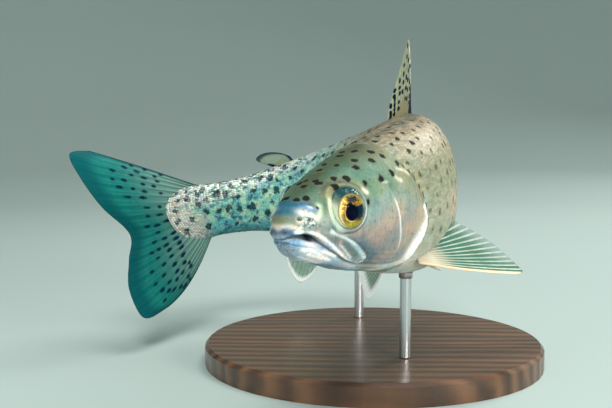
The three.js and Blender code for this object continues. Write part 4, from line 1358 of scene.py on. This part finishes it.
# eyes: a lathed ball with a gold iris, under a clear cornea
eyeValues = {
    "irisBack": 0.65,  # the iris sits a little behind and below the middle of the ball
    "irisDown": 1.3,
    "pupilBack": -0.15,
    "pupilDown": 0.35,
    "turnSteps": 72,
    "gold": [(0.36, (0.06, 0.018, 0.004)), (0.47, (0.42, 0.15, 0.008)), (0.56, (0.78, 0.42, 0.02)),
             (0.64, (1.0, 0.86, 0.4))],
    "pupil": (0.0003, 0.001, 0.008),
    "eye": [(0, 3.25), (0.7, 3.17), (1.4, 2.92), (2.0, 2.52), (2.35, 2.18), (2.65, 2.12), (2.8, 2.3),
            (3.3, 2.36), (4.2, 2.2), (5.1, 1.98), (5.6, 1.84), (5.75, 1.9), (6.2, 1.75), (6.7, 1.1),
            (6.95, 0.2), (6.7, -1.2), (5.6, -2.4), (3.2, -3.4), (0, -3.7)],
    "cornea": [(0, 4.38), (1.5, 4.28), (3.0, 3.98), (4.4, 3.48), (5.6, 2.76), (6.5, 1.9), (7.0, 1.05),
               (7.15, 0.1), (7.02, -0.4), (6.9, 0.1), (6.4, 1.55), (5.5, 2.5), (4.3, 3.2), (2.9, 3.66),
               (1.4, 3.94), (0, 4.03)],
}


def eyeMaterial():
    material, tree, shader = newMaterial("troutEye")
    plane = vector(tree, "iris")
    parts = add(tree, "ShaderNodeSeparateXYZ", {"Vector": plane}).outputs
    back, up = parts["X"], parts["Y"]
    radius = maths("SQRT", plus(times(back, back), times(up, up)))
    turn = maths("ARCTAN2", up, back)
    rays = add(tree, "ShaderNodeCombineXYZ", {"X": times(turn, 2.2), "Y": times(radius, 0.25)}).outputs[0]
    streak, cloud = noise(rays, 3.2, 4, 0.6), noise(plane, 0.5, 3)
    rear = times(ranged(back, 0.8, 2.2), ranged(up, 2.8, 1.6), ranged(up, -3.4, -2.0))
    bar = times(ranged(farFrom(back, 0.5), 2.4, 1.7), ranged(farFrom(up, 4.25), 0.9, 0.45))
    shade = ranged(plus(up, cloud), 5.0, 5.5, 0.0, 0.75)
    rim = times(ranged(farFrom(radius, 3.0), 0.3, 0.12), ranged(back, 1.4, 0.4, 0.0, 0.75))
    # the iris's pale front edge, brightened as a painted highlight
    front = times(ranged(radius, 4.3, 5.2), ranged(back, -2.4, -4.4, 0.0, 0.45))
    # the ring round the iris: its own pale green, darker upwards with painted shade under the lid
    lidShadow = ranged(plus(up, ranged(cloud, 0.3, 0.7, -2.0, 2.0, "LINEAR")), 4.0, 6.0)
    white = mixed(ranged(up, 1.0, 4.0), (0.56, 0.62, 0.46), (0.1, 0.15, 0.12))
    toFront = plus(times(back, -0.3), times(up, 0.95))
    point = ranged(maths("DIVIDE", toFront, larger(radius, 0.1)), 0.8, 1.0, 0.0, 0.8)
    colour = layered(ramp(streak, eyeValues["gold"]), [
        (ranged(cloud, 0.46, 0.58, 0.0, 0.85), (0.12, 0.085, 0.02)),
        (ranged(up, -2.6, -4.2, 0.0, 0.6), (0.4, 0.42, 0.03)),
        (rear, (0.0, 0.014, 0.036)),
        (larger(bar, shade), (0.02, 0.03, 0.04)),
        (rim, (1.0, 0.8, 0.4)),
        (front, (1.0, 0.9, 0.62)),
        (ranged(radius, 5.1, 5.6), (0.3, 0.24, 0.08)),
        (ranged(radius, 5.6, 5.85), mixed(lidShadow, white, (0.012, 0.06, 0.075))),
        (ranged(minus(radius, point), 2.8, 2.62), eyeValues["pupil"])])
    metal = times(ranged(radius, 5.6, 5.2), ranged(radius, 2.6, 2.8, 0.0, 0.55), rest(rear))
    setInputs(shader, {"Base Color": colour, "Metallic": metal,
                       "Roughness": ranged(radius, 2.7, 3.0, 0.06, 0.34),
                       "Normal": bumpNode(streak, 0.0003, 0.5),
                       "IOR": 1.08, "Specular IOR Level": 0.3})
    return material


def corneaMaterial():
    material, tree, shader = newMaterial("troutCornea")
    haze = noise(objectCoords(tree), 90, 2)
    setInputs(shader, {"Base Color": mixed(haze, (0.97, 1.0, 0.98), (1.0, 0.99, 0.95)),
                       "Transmission Weight": 1.0, "Roughness": 0.0, "IOR": 1.06, "Coat Weight": 0.0})
    return material


def buildEyes():
    ballLook, clearLook = eyeMaterial(), corneaMaterial()
    for word, side in (("left", 1), ("right", -1)):
        middle, back, above, out = eyeFrame(side)
        turned = Matrix([(*row, at) for row, at in zip(np.stack([back, above, out], -1), middle)]
                        + [(0, 0, 0, 1)]) @ Matrix.Scale(mm, 4)
        for kind, look in (("eye", ballLook), ("cornea", clearLook)):
            piece = lathed(kind + word.capitalize(), eyeValues[kind], eyeValues["turnSteps"])
            flat = pointsOf(piece.data)
            setValues(piece, {"iris": flat})
            if kind == "eye":
                ring = np.hypot(flat[:, 0], flat[:, 1])
                inner = rampDown(ring, 5.2, 6.9) * (flat[:, 2] > 0)
                core = rampDown(ring, 2.8, 5.0) * (flat[:, 2] > 0)
                flat[:, 0] += eyeValues["irisBack"] * inner + eyeValues["pupilBack"] * core
                flat[:, 1] -= eyeValues["irisDown"] * inner + eyeValues["pupilDown"] * core
                setPoints(piece, flat)
            piece.data.transform(turned)
            piece.data.materials.append(look)
            finishMesh(piece)
            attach(piece, "root")
            if kind == "eye":
                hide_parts("eye_" + word)


buildEyes()
print("eyes: done")

# stand: dark wood base and two steel rods, each with a small cup under the belly
standValues = {
    "rods": ("stand_rod_front", "stand_rod_rear"),
    "cup": [(0.0, -3.4), (2.75, -3.4), (3.1, -3.1), (3.15, -1.2), (3.9, 0.1), (4.6, 0.9), (4.3, 1.5),
            (2.0, 1.3), (0.0, 1.2)],
    "turnSteps": 32,
    "wood": [(0.2, (0.035, 0.016, 0.008)), (0.5, (0.085, 0.038, 0.017)), (0.8, (0.15, 0.07, 0.03))],
    "steel": ((0.52, 0.53, 0.54), (0.66, 0.67, 0.68)),
}


def woodMaterial():
    material, tree, shader = newMaterial("standWood")
    board = stretched(objectCoords(tree), (9, 60, 60), 0.12)
    grain = noise(board, 1.6, 5, 0.6)
    wave = {"Vector": board, "Scale": 0.7, "Distortion": 5.0, "Detail": 3.0, "Detail Scale": 1.2}
    rings = add(tree, "ShaderNodeTexWave", wave, bands_direction="Y").outputs["Fac"]
    setInputs(shader, {"Base Color": ramp(plus(times(rings, 0.45), times(grain, 0.55)), standValues["wood"]),
                       "Roughness": ranged(grain, 0.3, 0.7, 0.28, 0.45),
                       "Normal": bumpNode(grain, 0.0002, 0.4),
                       "Coat Weight": 0.35, "Coat Roughness": 0.2})
    return material


def steelMaterial():
    material, tree, shader = newMaterial("standSteel")
    lines = noise(stretched(objectCoords(tree), (900, 900, 14)), 1.0, 3)
    setInputs(shader, {"Base Color": mixed(lines, *standValues["steel"]),
                       "Metallic": 1.0,
                       "Roughness": ranged(lines, 0.3, 0.7, 0.24, 0.4),
                       "Normal": bumpNode(lines, 0.00003, 0.4)})
    return material


def dress(node, material):
    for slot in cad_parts[node].material_slots:
        slot.material = material


def buildStand():
    wood, steel = woodMaterial(), steelMaterial()
    dress("stand_base", wood)
    for node in standValues["rods"]:
        dress(node, steel)
        low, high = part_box(node)
        cup = lathed("cup" + node.split("_")[-1].capitalize(), standValues["cup"], standValues["turnSteps"])
        top = Matrix.Translation(((low.x + high.x) / 2, (low.y + high.y) / 2, high.z))
        cup.data.transform(top @ Matrix.Scale(mm, 4))
        cup.data.materials.append(steel)
        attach(cup, "root")


buildStand()
print("stand: done")

# studio: pale bowl-shaped floor, soft lights and the camera
studio = {
    "floor": (0.34, 0.42, 0.4),
    "floorShade": 0.97,
    "bowl": [(0, 0), (0.9, 0), (1.3, 0.03), (1.6, 0.14), (1.85, 0.38), (1.98, 0.75), (2.0, 1.6)],
    "bowlSteps": 64,
    "air": (0.8, 0.9, 0.92),
    "airStrength": 0.33,
    "lights": [  # name, place, power, size, colour
        ("key", (-0.1, -0.85, 1.15), 13, 0.5, (1.0, 0.98, 0.94)),
        ("top", (0.3, 0.1, 1.2), 8.5, 0.7, (1.0, 0.99, 0.96)),
        ("side", (0.75, -0.8, 0.3), 10.5, 0.4, (1.0, 0.97, 0.93)),
        ("back", (0.8, 0.75, 0.75), 8, 0.5, (1.0, 0.98, 0.95)),
        ("fill", (-0.7, -0.9, 0.3), 3, 0.9, (0.9, 0.97, 1.0)),
    ],
    "lit": (0, 0, 0.08),  # what the lights point at
    "camera": (0.0009, -0.3767, 0.112),
    "pitchDown": 5.3,
    "lens": 50,
    "sensor": 36,
    "view": "Standard",
}


def buildFloor():
    floor = lathed("studioFloor", studio["bowl"], studio["bowlSteps"])
    floor.data.flip_normals()
    material, tree, shader = newMaterial("studioPaper")
    shaded = tuple(studio["floorShade"] * part for part in studio["floor"])
    setInputs(shader, {"Base Color": mixed(noise(objectCoords(tree), 3, 2), shaded, studio["floor"]),
                       "Roughness": 0.95, "Specular IOR Level": 0.1})
    floor.data.materials.append(material)


def buildLights():
    world = bpy.data.worlds.new("studioAir")
    bpy.context.scene.world = world
    world.use_nodes = True
    air = {"Color": (*studio["air"], 1), "Strength": studio["airStrength"]}
    setInputs(world.node_tree.nodes["Background"], air)
    for name, at, power, wide, colour in studio["lights"]:
        lamp = bpy.data.lights.new(name, "AREA")
        lamp.shape = "DISK"
        lamp.size = wide
        lamp.energy = power
        lamp.color = colour
        holder = placed(name, lamp)
        holder.location = at
        holder.rotation_euler = (Vector(studio["lit"]) - Vector(at)).to_track_quat("-Z", "Y").to_euler()


def buildCamera():
    lens = bpy.data.cameras.new("camera")
    lens.lens = studio["lens"]
    lens.sensor_width = studio["sensor"]
    camera = placed("camera", lens)
    camera.location = studio["camera"]
    camera.rotation_euler = (math.radians(90 - studio["pitchDown"]), 0, 0)
    bpy.context.scene.camera = camera
    bpy.context.scene.view_settings.view_transform = studio["view"]


buildFloor()
buildLights()
buildCamera()
print("studio: done")
